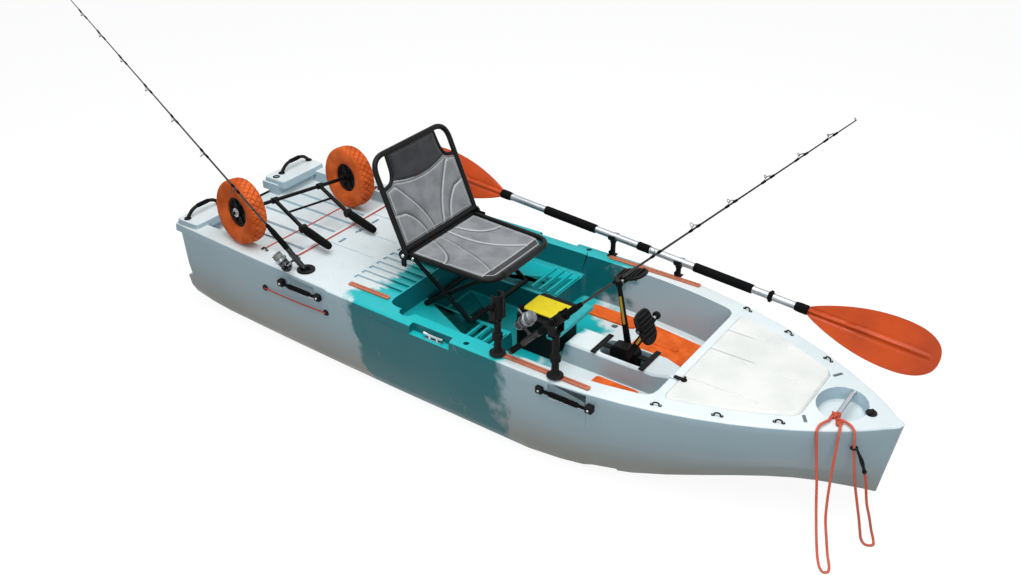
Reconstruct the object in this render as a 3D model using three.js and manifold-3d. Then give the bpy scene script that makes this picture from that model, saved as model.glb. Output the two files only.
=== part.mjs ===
// A sit-on-top fishing kayak with pedal fins, folding seat, paddle, two rods and a trolley.
// Millimetres. +X runs to the bow, +Y to port, +Z up. The origin lies on the hull's flat bottom.
import * as THREE from "three";
import { mergeVertices } from "three/addons/utils/BufferGeometryUtils.js";
import Module from "manifold-3d";

const wasm = await Module();
wasm.setup();

// Clearance between seated pieces, and how far a cutter runs past the face it opens.
const FIT = 0.3;
const OVERRUN = 8;
const ROUND = 10;

const hull = {
  aft: -1500, fore: 1546, widest: 350, half_beam: 457, stern_narrowing: 57, stem_radius: 36,
  deck: 400, aft_deck_rise: 6, aft_deck_end: -590, aft_deck_slope: 18,
  rocker: 100, rocker_start: 600, rocker_end: 1350, stern_rocker: 22, stern_rocker_run: 240,
  stem_rake: 43, bilge: 60, gunwale: 13, rim: 76, transom_recess: 38, transom_low: 150,
  transom_high: 368, band: 40,
};
const bow_fullness_share = 0.82;
const stem_round_share = 1.02;
const chine_share = 0.86;
const chine_bow_share = 0.6;
const chine_power_share = 1.4;
const chine_spread_share = 0.055;
const side_bulge_share = 0.72;

const cockpit = {
  aft: 96, fore: 800, floor: 200, draft: 10, corner: 46, chamfer: 14, ledge: 300, ledge_aft: -318,
  channel: 146, channel_aft: -316, ridge: 285, ridge_aft: 282, ridge_aft_half: 76,
  ridge_fore_half: 34, rib: 7, rib_width: 12, rib_pitch: 38, rib_start: -28, rib_inner: 172,
};
const ledge_rib_count = 4;

const tank = {
  aft: -1400, fore: -872, half: 333, floor: 355, corner: 40, draft: 6, mouth: 118,
  rib: 12, rib_width: 26, rib_pitch: 96, rib_inset: 34,
};
const tank_rib_count = 5;

const aft_deck = {
  step: -574, step_width: 16, ribs_fore: -334, ribs_floor: 390,
  rib_width: 20, rib_pitch: 44, groove: 4, groove_width: 12, groove_pitch: 150, groove_aft: -846,
  slot_x: -800, slot_length: 46, slot_width: 12, slot_depth: 16, slot_pitch: 105,
};
const deck_rib_count = 14;

const quarter = {
  fore: -1362, inner: 122, rise: 22, corner: 22, inset: 4, hole: 13, hole_x: -1436, hole_y: 150,
};

// How far the bow's pieces lie aft of the stem, and the hatch and the pads from the cockpit's fore wall.
const setback = { hatch: 298, recess: 206, bar: 201, plug: 109, wall: 32, pads: 88 };

const hatch = {
  aft: cockpit.fore + setback.wall, fore: hull.fore - setback.hatch, margin: 80, corner: 34, plate: 14,
  crown: 7, rebate: 24, floor: 200, draft: 8, groove: 3, groove_width: 6, groove_length: 320,
  groove_pitch: 186, groove_start: 850,
};
const latch = {
  inset: 19, y: -193, radius: 11, tongue: 38, tongue_width: 14, tongue_plate: 5, wing: 6, landing: 13,
};

const bow = {
  x: hull.fore - setback.recess, length: 170, width: 200, depth: 52, draft: 8,
  bar_x: hull.fore - setback.bar, bar_z: 388, bar: 9, plug_x: hull.fore - setback.plug, plug: 15,
  plug_head: 19, plug_plate: 5, plug_depth: 22,
};

const fins = {
  bay_aft: 356, bay_fore: 684, bay_half: 356, bay_depth: 30, length: 326, root: 144, tip: 92,
  plate: 10, pivot_x: 520, pivot_z: 16, shaft: 7, offset: 82, bearing: 14,
};
const well = { aft: 428, fore: 628, half: 50 };

const drive = {
  spine_half: 24, spine_aft: 466, spine_fore: 574, top: 316, pivot_z: 235, arm: 315, arm_width: 30,
  arm_plate: 14, arm_y: 38, pin: 6, pedal_y: 122, pedal_length: 128, pedal_width: 96,
  pedal_plate: 14, pedal_rib: 6, pedal_rib_pitch: 17, hub: 24, flange: 6, flange_width: 20,
  foot_length: 176,
};
const port_arm_angle = -12;
const starboard_arm_angle = 25.3;
const port_pedal_tilt = -20;
const starboard_pedal_tilt = 62;
const pedal_rib_count = 6;
const pedal_corner_share = 0.8;
const pedal_boss_share = 2.2;
const bridge_lap_share = 0.2;

const seat = {
  pivot_x: -345, pivot_z: 530, half: 214, back_length: 365, back_lean: 145, tube: 11,
  pan_fore: 50, pan_fore_z: 524, pan_half_fore: 200, mesh: 5, mesh_gap: 0.3, pan_gap: 1.8, hand_hole: 104,
  bow_radius: 70, pin: 7.7, front_foot_x: -62, rear_foot_x: -286, leg_width: 22, leg_plate: 8, sag: 14,
};

const pan_corner_share = 0.62;
const loop_low_share = 1.25;
const loop_corner_share = 1.1;
const loop_inset_share = 0.72;
const loop_top_share = 0.8;
const loop_bend_share = 0.6;
const loop_tube_share = 0.7;
const seam_dip_share = 0.4;

const rack = {
  fore_aft: 200, fore_fore: 610, fore_y: 414, rear_aft: -532, rear_fore: -330, rear_y: 350,
  width: 22, height: 7, slot: 9, slot_depth: 4,
};

const holder = {
  aft_x: 232, fore_x: 474, y: 420, flange: 30, flange_plate: 7, neck: 13, aft_z: 608, fore_z: 640,
  cradle: 20, wall: 5, cradle_length: 92, fork: 7, fork_gap: 0.3, band: 26, screw: 9,
};
const cradle_tilt_aft = 0;
const cradle_tilt_fore = 43.6;
const sleeve_share = 1.4;

const flush = {
  x: -741, y: 377, lean: 41.3, out: 9.5, bore: 18, wall: 4, depth: 178, flange: 37, flange_plate: 6,
};

const fishing_rod = {
  length: 1540, butt: 12, blank: 4.5, tip: 1.6, grip: 12, grip_start: 22, grip_length: 220,
  reel_up: 62, fore_reel_up: -46, fore_grip_up: 104, reel_drop: 60, spool: 24,
  spool_length: 40, body: 17, crank: 44, crank_gap: 2, knob: 9, knob_length: 27, stem: 6,
};
const gear_share = 1.3;
const nose_share = 1.6;
const nose_taper_share = 0.7;
const spool_profile_shares = [
  [0, 0], [1, 0], [1, 0.33], [0.7, 0.42], [0.7, 0.8], [0.9, 0.85], [0.8, 1], [0, 1],
];

const paddle = {
  y: 440, aft_x: -355, aft_z: 528, fore_x: 1040, fore_z: 430, shaft: 15, collar: 19, collar_length: 52,
  blade: 492, blade_half: 96, blade_plate: 9, rib: 15, grip: 18.5, grip_length: 250, ring: 24,
  ring_plate: 12, clip_aft: 200, clip_fore: 500, clip_width: 30, clip_wall: 6, clip_foot: 10,
  clip_gap: 0.75,
};
const blade_turn = 32;

const cart = {
  x: -1086, y: -55, track: 577, yaw: 8, tyre: 138, tyre_width: 78, rim: 64, hub_half: 26, axle: 8,
  cap: 17, tread: 5, hub_bore: 8.6, arm: 9, arm_y: 120, arm_fore: 190, arm_drop: 66, bracket: 26,
  pad: 18, pad_length: 172, pad_drop: 22, brace_x: 84, settle: 2.3, brace: 5, collar: 13, collar_length: 18,
};
const tyre_step_count = 30;
const hub_boss_share = 1.2;
const hub_disc_share = 0.82;
const hub_rim_share = 0.86;
const hub_wall_share = 0.7;
const pad_taper_share = 0.85;
const bracket_share = 0.7;

const handle = {
  aft_x: -718, fore_x: 536, half: 100, z: 355, bar: 7, pad: 28, pad_plate: 7, stand: 13,
  scoop: 18, aft_scoop: 10, scoop_half: 72, scoop_height: 30,
};
const stern_handle = { inner: 192, outer: 372, x: -1444, tube: 8, rise: 36, foot: 15, foot_plate: 5 };

const box = {
  aft: 86, fore: 250, half: 96, floor: 214, top: 352, wall: 5, lid_aft: 92, lid_fore: 244, lip: 7,
  lid_half: 58, lid_plate: 10, coaming: 12,
};

const pads = {
  plate: 8, gap: 14, fore_aft: 452, fore_fore: cockpit.fore - setback.pads, outer: 352,
  aft_aft: 110, aft_fore: 408,
  strip: 84, ridge: 10, ridge_height: 6,
};

const rail = { aft: 430, fore: 662, z: 372, y: 366, half: 7, height: 22, standoff: 12, foot: 28 };
const pocket = { aft: -150, fore: 36, depth: 36, half: 30, hole: 11, cup_x: -214, cup: 34 };
const scupper = { radius: 13, far_x: 700, near_x: 330, y: 252, aft_x: -1180, aft_y: 210 };
const cord = { radius: 4.5, step_share: 3 };
const clip = { hole: 6.8, ring: 11.2, plate: 5, body: 4.5 };
const clip_hook_count = 7;
const clip_cap_share = 1.2;

// Geometry helpers
const v2 = (x, y) => new THREE.Vector2(x, y);
const v3 = (x, y, z) => new THREE.Vector3(x, y, z);
const radians = THREE.MathUtils.degToRad;
const lerp = THREE.MathUtils.lerp;
const range = (count) => Array.from({ length: count }, (_, i) => i);

function bareMesh(geometry) {
  const bare = geometry.clone();
  for (const name of Object.keys(bare.attributes)) {
    if (name !== "position") bare.deleteAttribute(name);
  }
  return mergeVertices(bare, 1e-3);
}

function solid(geometry) {
  const merged = bareMesh(geometry);
  const position = merged.attributes.position;
  const corner = (i) => new THREE.Vector3().fromBufferAttribute(position, i);
  const kept = [];
  let volume = 0;
  for (let i = 0; i < merged.index.count; i += 3) {
    const [a, b, c] = [0, 1, 2].map((k) => merged.index.getX(i + k));
    if (a === b || b === c || a === c) continue;
    kept.push([a, b, c]);
    volume += corner(a).dot(corner(b).cross(corner(c)));
  }
  const faces = volume < 0 ? kept.map(([a, b, c]) => [a, c, b]) : kept;
  const vertProperties = Float32Array.from(position.array);
  const triVerts = Uint32Array.from(faces.flat());
  return new wasm.Manifold(new wasm.Mesh({ numProp: 3, vertProperties, triVerts }));
}

function surface(body) {
  const mesh = body.getMesh();
  const geometry = new THREE.BufferGeometry();
  const places = new Float32Array(mesh.vertProperties);
  geometry.setAttribute("position", new THREE.BufferAttribute(places, 3));
  geometry.setIndex(new THREE.BufferAttribute(new Uint32Array(mesh.triVerts), 1));
  return geometry;
}

const join = (...pieces) => surface(pieces.flat().map(solid).reduce((a, b) => a.add(b)));
const cut = (piece, ...tools) =>
  surface(tools.flat().reduce((a, tool) => a.subtract(solid(tool)), solid(piece)));
const shared = (a, b) => surface(solid(a).intersect(solid(b)));
const mirrored = (geometry) => geometry.clone().scale(1, -1, 1);

function block(x0, x1, y0, y1, z0, z1) {
  const shape = new THREE.BoxGeometry(x1 - x0, y1 - y0, z1 - z0);
  return shape.translate((x0 + x1) / 2, (y0 + y1) / 2, (z0 + z1) / 2);
}

function pole(from, to, radius, sides = ROUND, end = radius) {
  const along = to.clone().sub(from);
  const shape = new THREE.CylinderGeometry(end, radius, along.length(), sides);
  const turn = new THREE.Quaternion().setFromUnitVectors(v3(0, 1, 0), along.clone().normalize());
  const middle = from.clone().add(to).divideScalar(2);
  return shape.applyQuaternion(turn).translate(middle.x, middle.y, middle.z);
}

const disc = (x, y, z0, z1, radius, sides = ROUND) => pole(v3(x, y, z0), v3(x, y, z1), radius, sides);

function slab(outline, z0, z1) {
  const shape = new THREE.Shape(outline);
  return new THREE.ExtrudeGeometry(shape, { depth: z1 - z0, bevelEnabled: false }).translate(0, 0, z0);
}

// A plate drawn in the X-Z plane, thick along Y about its middle.
function sidePlate(outline, thickness, y = 0) {
  return slab(outline, -thickness / 2, thickness / 2).rotateX(Math.PI / 2).translate(0, y, 0);
}

function circle(radius, sides) {
  return range(sides).map((i) => {
    const turn = (2 * Math.PI * i) / sides;
    return v2(radius * Math.cos(turn), radius * Math.sin(turn));
  });
}

function softened(points, radius, steps = 3) {
  const soft = [];
  points.forEach((point, i) => {
    const before = points[(i + points.length - 1) % points.length];
    const after = points[(i + 1) % points.length];
    const reach = (other) => Math.min(radius, point.distanceTo(other) / 2.01);
    const start = point.clone().add(before.clone().sub(point).setLength(reach(before)));
    const end = point.clone().add(after.clone().sub(point).setLength(reach(after)));
    soft.push(...new THREE.QuadraticBezierCurve(start, point, end).getPoints(steps));
  });
  return soft;
}

function oblong(x0, x1, y0, y1, corner, steps = 3) {
  return softened([v2(x0, y0), v2(x1, y0), v2(x1, y1), v2(x0, y1)], corner, steps);
}

// Moves every edge of an anticlockwise outline inward by a distance.
function inset(outline, distance) {
  const normal = (a, b) => v2(a.y - b.y, b.x - a.x).normalize();
  return outline.map((point, i) => {
    const before = outline[(i + outline.length - 1) % outline.length];
    const after = outline[(i + 1) % outline.length];
    const n0 = normal(before, point);
    const n1 = normal(point, after);
    const sum = n0.clone().add(n1);
    return point.clone().add(sum.multiplyScalar((2 * distance) / sum.lengthSq()));
  });
}

// Joins rings of equal count into one closed skin; each end is a fan about its ring's middle.
function loft(rings) {
  const count = rings[0].length;
  const index = [];
  for (let r = 0; r + 1 < rings.length; r++) {
    for (let i = 0; i < count; i++) {
      const a = r * count + i;
      const b = r * count + ((i + 1) % count);
      index.push(a, b, b + count, a, b + count, a + count);
    }
  }
  const middle = (ring) => ring.reduce((sum, p) => sum.add(p), v3(0, 0, 0)).divideScalar(count);
  const last = (rings.length - 1) * count;
  const hub = rings.length * count;
  for (let i = 0; i < count; i++) {
    const next = (i + 1) % count;
    index.push(hub, next, i, hub + 1, last + i, last + next);
  }
  const points = [...rings.flat(), middle(rings[0]), middle(rings[rings.length - 1])];
  return facets(points, index);
}

function facets(points, index) {
  const geometry = new THREE.BufferGeometry();
  const places = points.flatMap((p) => [p.x, p.y, p.z]);
  geometry.setAttribute("position", new THREE.Float32BufferAttribute(places, 3));
  geometry.setIndex(index);
  return geometry;
}

const level = (outline, z) => outline.map((p) => v3(p.x, p.y, z));

// A moulded hollow: full outline at the top, drawn in by the draft, with a chamfered floor edge.
function hollow(outline, floor, top, draft, chamfer) {
  const rings = [
    level(inset(outline, draft + chamfer), floor),
    level(inset(outline, draft), floor + chamfer),
    level(outline, top),
    level(outline, top + OVERRUN),
  ];
  return loft(rings);
}

function turned(profile, sides = ROUND) {
  const points = profile.map(([radius, z]) => v2(radius, z));
  return new THREE.LatheGeometry(points, sides).rotateX(Math.PI / 2);
}

function bentPath(points, bend) {
  const path = new THREE.CurvePath();
  let from = points[0];
  for (let i = 1; i + 1 < points.length; i++) {
    const corner = points[i];
    const reach = (other) => Math.min(bend, corner.distanceTo(other) / 2.01);
    const start = corner.clone().add(from.clone().sub(corner).setLength(reach(points[i - 1])));
    const end = corner.clone().add(points[i + 1].clone().sub(corner).setLength(reach(points[i + 1])));
    path.add(new THREE.LineCurve3(from, start));
    path.add(new THREE.QuadraticBezierCurve3(start, corner, end));
    from = end;
  }
  path.add(new THREE.LineCurve3(from, points[points.length - 1]));
  return path;
}

function tube(path, radius, steps, sides = 8) {
  const section = new THREE.Shape(circle(radius, sides));
  return new THREE.ExtrudeGeometry(section, { steps, extrudePath: path, bevelEnabled: false });
}

const paint = (color, roughness, metalness = 0) =>
  new THREE.MeshStandardMaterial({ color, roughness, metalness, flatShading: true });
const materials = {
  shell: paint(0xc9d3d6, 0.45),
  lid: paint(0xf0f1f0, 0.5),
  black: paint(0x17181a, 0.45),
  tube: paint(0x1c1d20, 0.3, 0.6),
  chrome: paint(0xc8ccd0, 0.2, 1),
  mesh: paint(0x8d8f94, 0.9),
  foam: paint(0xf0713a, 0.8),
  tyre: paint(0xe2571f, 0.7),
  blade: paint(0xe0521c, 0.35),
  yellow: paint(0xe4d21c, 0.5),
  salmon: paint(0xd98d74, 0.5),
  rope: paint(0xe06a5a, 0.8),
  fin: paint(0x222428, 0.5),
};

function piece(name, geometry, material, x = 0, y = 0, z = 0) {
  const mesh = new THREE.Mesh(surface(solid(geometry)), material);
  mesh.name = name;
  mesh.position.set(x, y, z);
  return mesh;
}

// Hull
function halfBeam(x) {
  const aftRun = (hull.widest - x) / (hull.widest - hull.aft);
  if (aftRun >= 0) return hull.half_beam - hull.stern_narrowing * aftRun * aftRun;
  const run = Math.min((x - hull.widest) / (hull.fore - hull.widest), 1);
  const flank = hull.half_beam * Math.pow(1 - run * run, bow_fullness_share);
  const past = Math.max(x - hull.fore + hull.stem_radius, 0);
  const stem = hull.stem_radius * Math.sqrt(Math.max(stem_round_share - (past / hull.stem_radius) ** 2, 0));
  return past > 0 ? Math.max(flank, stem) : flank;
}

function keelHeight(x) {
  const forward = hull.rocker * THREE.MathUtils.smoothstep(x, hull.rocker_start, hull.rocker_end);
  const run = Math.max(0, hull.aft + hull.stern_rocker_run - x) / hull.stern_rocker_run;
  return forward + hull.stern_rocker * run * run;
}

function deckHeight(x) {
  const run = (hull.aft_deck_end + hull.aft_deck_slope - x) / hull.aft_deck_slope;
  return hull.deck + hull.aft_deck_rise * THREE.MathUtils.clamp(run, 0, 1);
}

// One cross-section of the outer hull, grown outward by a clearance where it trims other pieces.
function hullRing(x, grow) {
  const beam = halfBeam(x) + grow;
  const base = keelHeight(x) - grow;
  const top = deckHeight(x) + grow;
  const run = Math.max(0, (x - hull.widest) / (hull.fore - hull.widest));
  const chine = chine_share - chine_bow_share * Math.pow(run, chine_power_share);
  const low = chine + chine_spread_share;
  const edge = Math.min(hull.gunwale, beam / 3);
  const half = [
    [(chine - chine_spread_share) * beam, base],
    [chine * beam, base + hull.bilge / 4],
    [low * beam, base + hull.bilge],
    [lerp(low, 1, side_bulge_share) * beam, (base + top) / 2],
    [beam, top - hull.band],
    [beam - edge / 4, top - edge / 2],
    [beam - edge, top],
  ];
  const rake = (z) => (hull.stem_rake * (top - z) * Math.pow(run, 4)) / (top - hull.rocker);
  const port = half.map(([y, z]) => v3(x - rake(z), y, z));
  const starboard = half.map(([y, z]) => v3(x - rake(z), -y, z)).reverse();
  return [...port, ...starboard];
}

function stations() {
  const aft = range(9).map((i) => lerp(hull.aft, hull.aft_deck_end, i / 8));
  const start = hull.aft_deck_end + hull.aft_deck_slope;
  const middle = range(6).map((i) => lerp(start, hull.widest, i / 6));
  const fore = range(15).map((i) => {
    return lerp(hull.widest, hull.fore - hull.stem_radius, Math.sin((Math.PI / 2) * (i / 14)));
  });
  const stem_shares = [0.45, 0.8, 0.96, 1];
  const tip = stem_shares.map((share) => hull.fore - hull.stem_radius * (1 - share));
  return [...aft, ...middle, ...fore, ...tip];
}

const hullForm = (grow) => loft(stations().map((x) => hullRing(x, grow)));
const outerHull = hullForm(FIT);

function deckOutline(aft, fore, margin, corner) {
  const places = range(5).map((i) => lerp(aft, fore, i / 4));
  const starboard = places.map((x) => v2(x, margin - halfBeam(x)));
  const port = places.map((x) => v2(x, halfBeam(x) - margin)).reverse();
  return softened([...starboard, ...port], corner);
}

function cockpitCutters() {
  const footwell = deckOutline(cockpit.aft, cockpit.fore, hull.rim, cockpit.corner);
  const ledge = deckOutline(cockpit.ledge_aft, cockpit.aft + cockpit.corner, hull.rim, cockpit.corner);
  const channel = oblong(
    cockpit.channel_aft, cockpit.aft + cockpit.corner, -cockpit.channel, cockpit.channel, cockpit.chamfer,
  );
  return [
    hollow(footwell, cockpit.floor, hull.deck, cockpit.draft, cockpit.chamfer),
    hollow(ledge, cockpit.ledge, hull.deck, cockpit.draft, cockpit.chamfer),
    hollow(channel, cockpit.floor, cockpit.ledge + OVERRUN, cockpit.draft / 2, cockpit.chamfer / 2),
  ];
}

function cockpitRidge() {
  const side = (x) => lerp(
    cockpit.ridge_aft_half, cockpit.ridge_fore_half,
    THREE.MathUtils.smoothstep(x, well.fore + hull.band, cockpit.fore),
  );
  const places = [cockpit.ridge_aft, well.fore + hull.band, (well.fore + cockpit.fore) / 2 + hull.band,
    cockpit.fore + cockpit.draft + cockpit.chamfer + OVERRUN];
  const outline = [
    ...places.map((x) => v2(x, -side(x))),
    ...places.map((x) => v2(x, side(x))).reverse(),
  ];
  const rings = [
    level(outline, cockpit.floor - OVERRUN),
    level(inset(outline, cockpit.draft), cockpit.ridge - cockpit.draft),
    level(inset(outline, 2 * cockpit.draft), cockpit.ridge),
  ];
  return loft(rings);
}

function ledgeRibs() {
  const outer = halfBeam(0) - hull.rim - cockpit.draft;
  const sunk = cockpit.ledge - cockpit.rib;
  const port = range(ledge_rib_count).map((i) => {
    const x = cockpit.rib_start + i * cockpit.rib_pitch;
    return block(x, x + cockpit.rib_width, cockpit.rib_inner, outer, sunk, cockpit.ledge + cockpit.rib);
  });
  return [...port, ...port.map(mirrored)];
}

function tankCutters() {
  const outline = oblong(tank.aft, tank.fore, -tank.half, tank.half, tank.corner);
  const top = hull.deck + hull.aft_deck_rise;
  const mouthAft = hull.aft - OVERRUN;
  return [
    hollow(outline, tank.floor, top, tank.draft, tank.draft),
    block(
      mouthAft, tank.aft + tank.corner, -tank.mouth, tank.mouth, tank.floor, top + quarter.rise + OVERRUN,
    ),
  ];
}

function tankRibs() {
  const aft = tank.aft + tank.rib_inset;
  const fore = tank.fore - tank.rib_inset;
  return range(tank_rib_count).map((i) => {
    const y = (i - (tank_rib_count - 1) / 2) * tank.rib_pitch;
    const half = tank.rib_width / 2;
    const lower = level(oblong(aft, fore, y - half, y + half, half / 2, 1), tank.floor - tank.rib);
    const crest = oblong(aft + half, fore - half, y - half / 2, y + half / 2, half / 4, 1);
    const upper = level(crest, tank.floor + tank.rib);
    return loft([lower, upper]);
  });
}

function aftDeckCutters() {
  const pitch = aft_deck.rib_pitch;
  const ribs = range(deck_rib_count).map((i) => {
    const y = (i - (deck_rib_count - 1) / 2) * pitch;
    const half = (pitch - aft_deck.rib_width) / 2;
    const fore = aft_deck.ribs_fore + OVERRUN;
    const aft = aft_deck.step + aft_deck.step_width;
    return block(aft, fore, y - half, y + half, aft_deck.ribs_floor, hull.deck + OVERRUN);
  });
  const top = hull.deck + hull.aft_deck_rise;
  const grooves = [-1, 0, 1].map((k) => {
    const y = k * aft_deck.groove_pitch;
    const half = aft_deck.groove_width / 2;
    return block(aft_deck.groove_aft, aft_deck.step, y - half, y + half, top - aft_deck.groove, top + OVERRUN);
  });
  const slots = [-1, 0, 1].map((k) => {
    const y = k * aft_deck.slot_pitch;
    const half = aft_deck.slot_length / 2;
    const x = aft_deck.slot_x;
    const reach = aft_deck.slot_width;
    const outline = oblong(x, x + reach, y - half, y + half, reach / 2);
    return slab(outline, top - aft_deck.slot_depth, top + OVERRUN);
  });
  return [...ribs, ...grooves, ...slots];
}

function quarterPods() {
  const top = hull.deck + hull.aft_deck_rise + quarter.rise;
  const outer = halfBeam(hull.aft) - quarter.inset;
  const outline = oblong(hull.aft + quarter.inset, quarter.fore, quarter.inner, outer, quarter.corner);
  const rings = [
    level(outline, hull.deck - OVERRUN),
    level(inset(outline, quarter.inset), top - quarter.inset),
    level(inset(outline, 2 * quarter.inset), top),
  ];
  const port = loft(rings);
  return [port, mirrored(port)];
}

function hatchOutline(margin) {
  return deckOutline(hatch.aft - margin, hatch.fore + margin, hatch.margin - margin, hatch.corner);
}

function hatchCutters() {
  const rebate = slab(hatchOutline(FIT), hull.deck - hatch.plate - FIT, hull.deck + OVERRUN);
  const tub = hollow(hatchOutline(-hatch.rebate), hatch.floor, hull.deck - hatch.plate, hatch.draft, hatch.draft);
  return [rebate, tub];
}

function bowOval(grow) {
  const across = bow.width / 2 + grow;
  const along = bow.length / 2 + grow;
  return circle(1, 20).map((p) => v2(bow.x + p.x * along, p.y * across));
}

function flushHolderGroup(side) {
  const group = new THREE.Group();
  group.position.set(flush.x, side * flush.y, deckHeight(flush.x));
  group.rotation.set(-side * radians(flush.out), -radians(flush.lean), 0, "YXZ");
  group.updateMatrixWorld();
  return group;
}

// The bore that the hull keeps for a recessed rod holder, in hull coordinates.
function flushBore(side) {
  const radius = (flush.bore + flush.wall + FIT) / Math.cos(Math.PI / 14);
  const bore = pole(v3(0, 0, -flush.depth - FIT), v3(0, 0, flush.flange * 2), radius, 14);
  return bore.applyMatrix4(flushHolderGroup(side).matrixWorld);
}

function sideCutters() {
  const top = hull.deck + OVERRUN;
  const cup = halfBeam(pocket.cup_x) - hull.rim;
  const cups = disc(pocket.cup_x, cup, hull.deck - hull.band, top, pocket.cup);
  const reach = halfBeam(0) + OVERRUN;
  const inner = halfBeam(0) - pocket.half;
  const recess = block(pocket.aft, pocket.fore, inner, reach, hull.deck - pocket.depth, top);
  const hole = disc(pocket.fore + 2 * pocket.half, inner, hull.deck - hull.band, top, pocket.hole, 10);
  const podTop = hull.deck + hull.aft_deck_rise + quarter.rise + OVERRUN;
  const podHole = disc(quarter.hole_x, quarter.hole_y, hull.deck, podTop, quarter.hole, 10);
  const port = [cups, recess, hole, podHole];
  return [...port, ...port.map(mirrored)];
}

function handleScoops() {
  const scoop = (x, depth) => {
    const side = halfBeam(x);
    const shape = oblong(x - handle.scoop_half, x + handle.scoop_half, side - depth, side + OVERRUN, depth / 2);
    return slab(shape, handle.z - handle.scoop_height, handle.z + handle.scoop_height);
  };
  const port = [scoop(handle.fore_x, handle.scoop), scoop(handle.aft_x, handle.aft_scoop)];
  return [...port, ...port.map(mirrored)];
}

// Drain holes through the cockpit floor and the tank floor.
function scuppers() {
  const up = cockpit.floor + OVERRUN;
  const port = [
    disc(scupper.far_x, scupper.y, -OVERRUN, up, scupper.radius, 10),
    disc(scupper.near_x, scupper.y, -OVERRUN, up, scupper.radius, 10),
    disc(scupper.aft_x, scupper.aft_y, -OVERRUN, tank.floor + OVERRUN, scupper.radius, 10),
  ];
  return [...port, ...port.map(mirrored)];
}

function transomRecess() {
  const reach = halfBeam(hull.aft) + OVERRUN;
  const slope = hull.transom_recess / 2;
  const outline = [
    v2(hull.aft - OVERRUN, hull.transom_low - slope), v2(hull.aft + hull.transom_recess, hull.transom_low),
    v2(hull.aft + hull.transom_recess, hull.transom_high), v2(hull.aft - OVERRUN, hull.transom_high),
  ];
  return sidePlate(outline, 2 * reach);
}

function finBay() {
  const outline = oblong(fins.bay_aft, fins.bay_fore, -fins.bay_half, fins.bay_half, fins.shaft);
  return slab(outline, -OVERRUN, fins.bay_depth);
}

function driveSlot() {
  const outline = oblong(well.aft, well.fore, -well.half, well.half, well.half / 2);
  return slab(outline, -OVERRUN, cockpit.ridge + OVERRUN);
}

function buildHull() {
  const opened = cut(hullForm(0), cockpitCutters(), tankCutters(), hatchCutters(), aftDeckCutters());
  const detailed = join(opened, cockpitRidge(), ledgeRibs(), tankRibs(), quarterPods(), latchLanding());
  const bowWell = hollow(bowOval(0), hull.deck - bow.depth, hull.deck, bow.draft, bow.draft);
  const plugFoot = hull.deck - bow.plug_depth - bow.plug_plate;
  const plugBore = disc(bow.plug_x, 0, plugFoot, hull.deck + OVERRUN, bow.plug + FIT, 14);
  const mouth = block(
    hull.aft - OVERRUN, tank.aft, -tank.mouth, tank.mouth, tank.floor, hull.deck + hull.band + OVERRUN,
  );
  return cut(
    detailed, bowWell, plugBore, mouth, flushBore(1), flushBore(-1), sideCutters(), handleScoops(),
    scuppers(), transomRecess(), finBay(), driveSlot(),
  );
}

// Hatch, latch and bow fittings
function buildHatchLid() {
  const outline = hatchOutline(0);
  const z = hull.deck - hatch.plate;
  const rings = [
    level(outline, z),
    level(outline, hull.deck),
    level(inset(outline, hatch.crown), hull.deck + hatch.crown),
  ];
  const top = hull.deck + hatch.crown;
  const grooves = [-1, 0, 1].map((k) => {
    const y = k * hatch.groove_pitch + hatch.groove_width * 3;
    const half = hatch.groove_width / 2;
    const fore = hatch.groove_start + hatch.groove_length;
    return block(hatch.groove_start, fore, y - half, y + half, top - hatch.groove, top + OVERRUN);
  });
  const pivot = v3(hatch.fore, 0, hull.deck);
  const shape = cut(loft(rings), grooves).translate(-pivot.x, -pivot.y, -pivot.z);
  return piece("hatch_lid", shape, materials.lid, pivot.x, pivot.y, pivot.z);
}

function buildLatch() {
  const half = latch.tongue_width / 2;
  const post = disc(0, 0, 0, latch.tongue_plate, latch.radius);
  const tongue = slab(oblong(-latch.tongue, 0, -half, half, half / 2), 0, latch.tongue_plate);
  const wing = block(-half / 2, half / 2, -latch.radius, latch.radius, 0, latch.tongue_plate + latch.wing);
  const shape = join(post, tongue, wing);
  const height = hull.deck + hatch.crown + FIT;
  return piece("hatch_latch", shape, materials.black, hatch.aft + latch.inset, latch.y, height);
}

// Moulded pad beside the hatch that the latch's tongue lands on.
function latchLanding() {
  const fore = hatch.aft + latch.inset - latch.tongue + latch.landing;
  const half = latch.tongue_width / 2;
  return block(
    fore - 2 * latch.landing, fore, latch.y - half, latch.y + half, hull.deck - OVERRUN, hull.deck + hatch.crown,
  );
}

function buildBowFittings() {
  const reach = bow.width / 2 + OVERRUN;
  const rod = pole(v3(bow.bar_x, -reach, bow.bar_z), v3(bow.bar_x, reach, bow.bar_z), bow.bar, 10);
  const seatDepth = hull.deck - bow.depth;
  const inside = hollow(bowOval(-FIT), seatDepth, hull.deck, bow.draft, bow.draft);
  const bar = shared(rod, inside).translate(-bow.bar_x, 0, -bow.bar_z);
  const head = disc(0, 0, 0, bow.plug_plate, bow.plug_head, 14);
  const stem = disc(0, 0, -bow.plug_depth, bow.plug_plate / 2, bow.plug - FIT, 14);
  const grip = block(-bow.plug / 4, bow.plug / 4, -bow.plug, bow.plug, 0, bow.plug_plate * 2);
  return [
    piece("bow_handle_bar", bar, materials.chrome, bow.bar_x, 0, bow.bar_z),
    piece("bow_plug", join(head, stem, grip), materials.black, bow.plug_x, 0, hull.deck + FIT),
  ];
}

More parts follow.
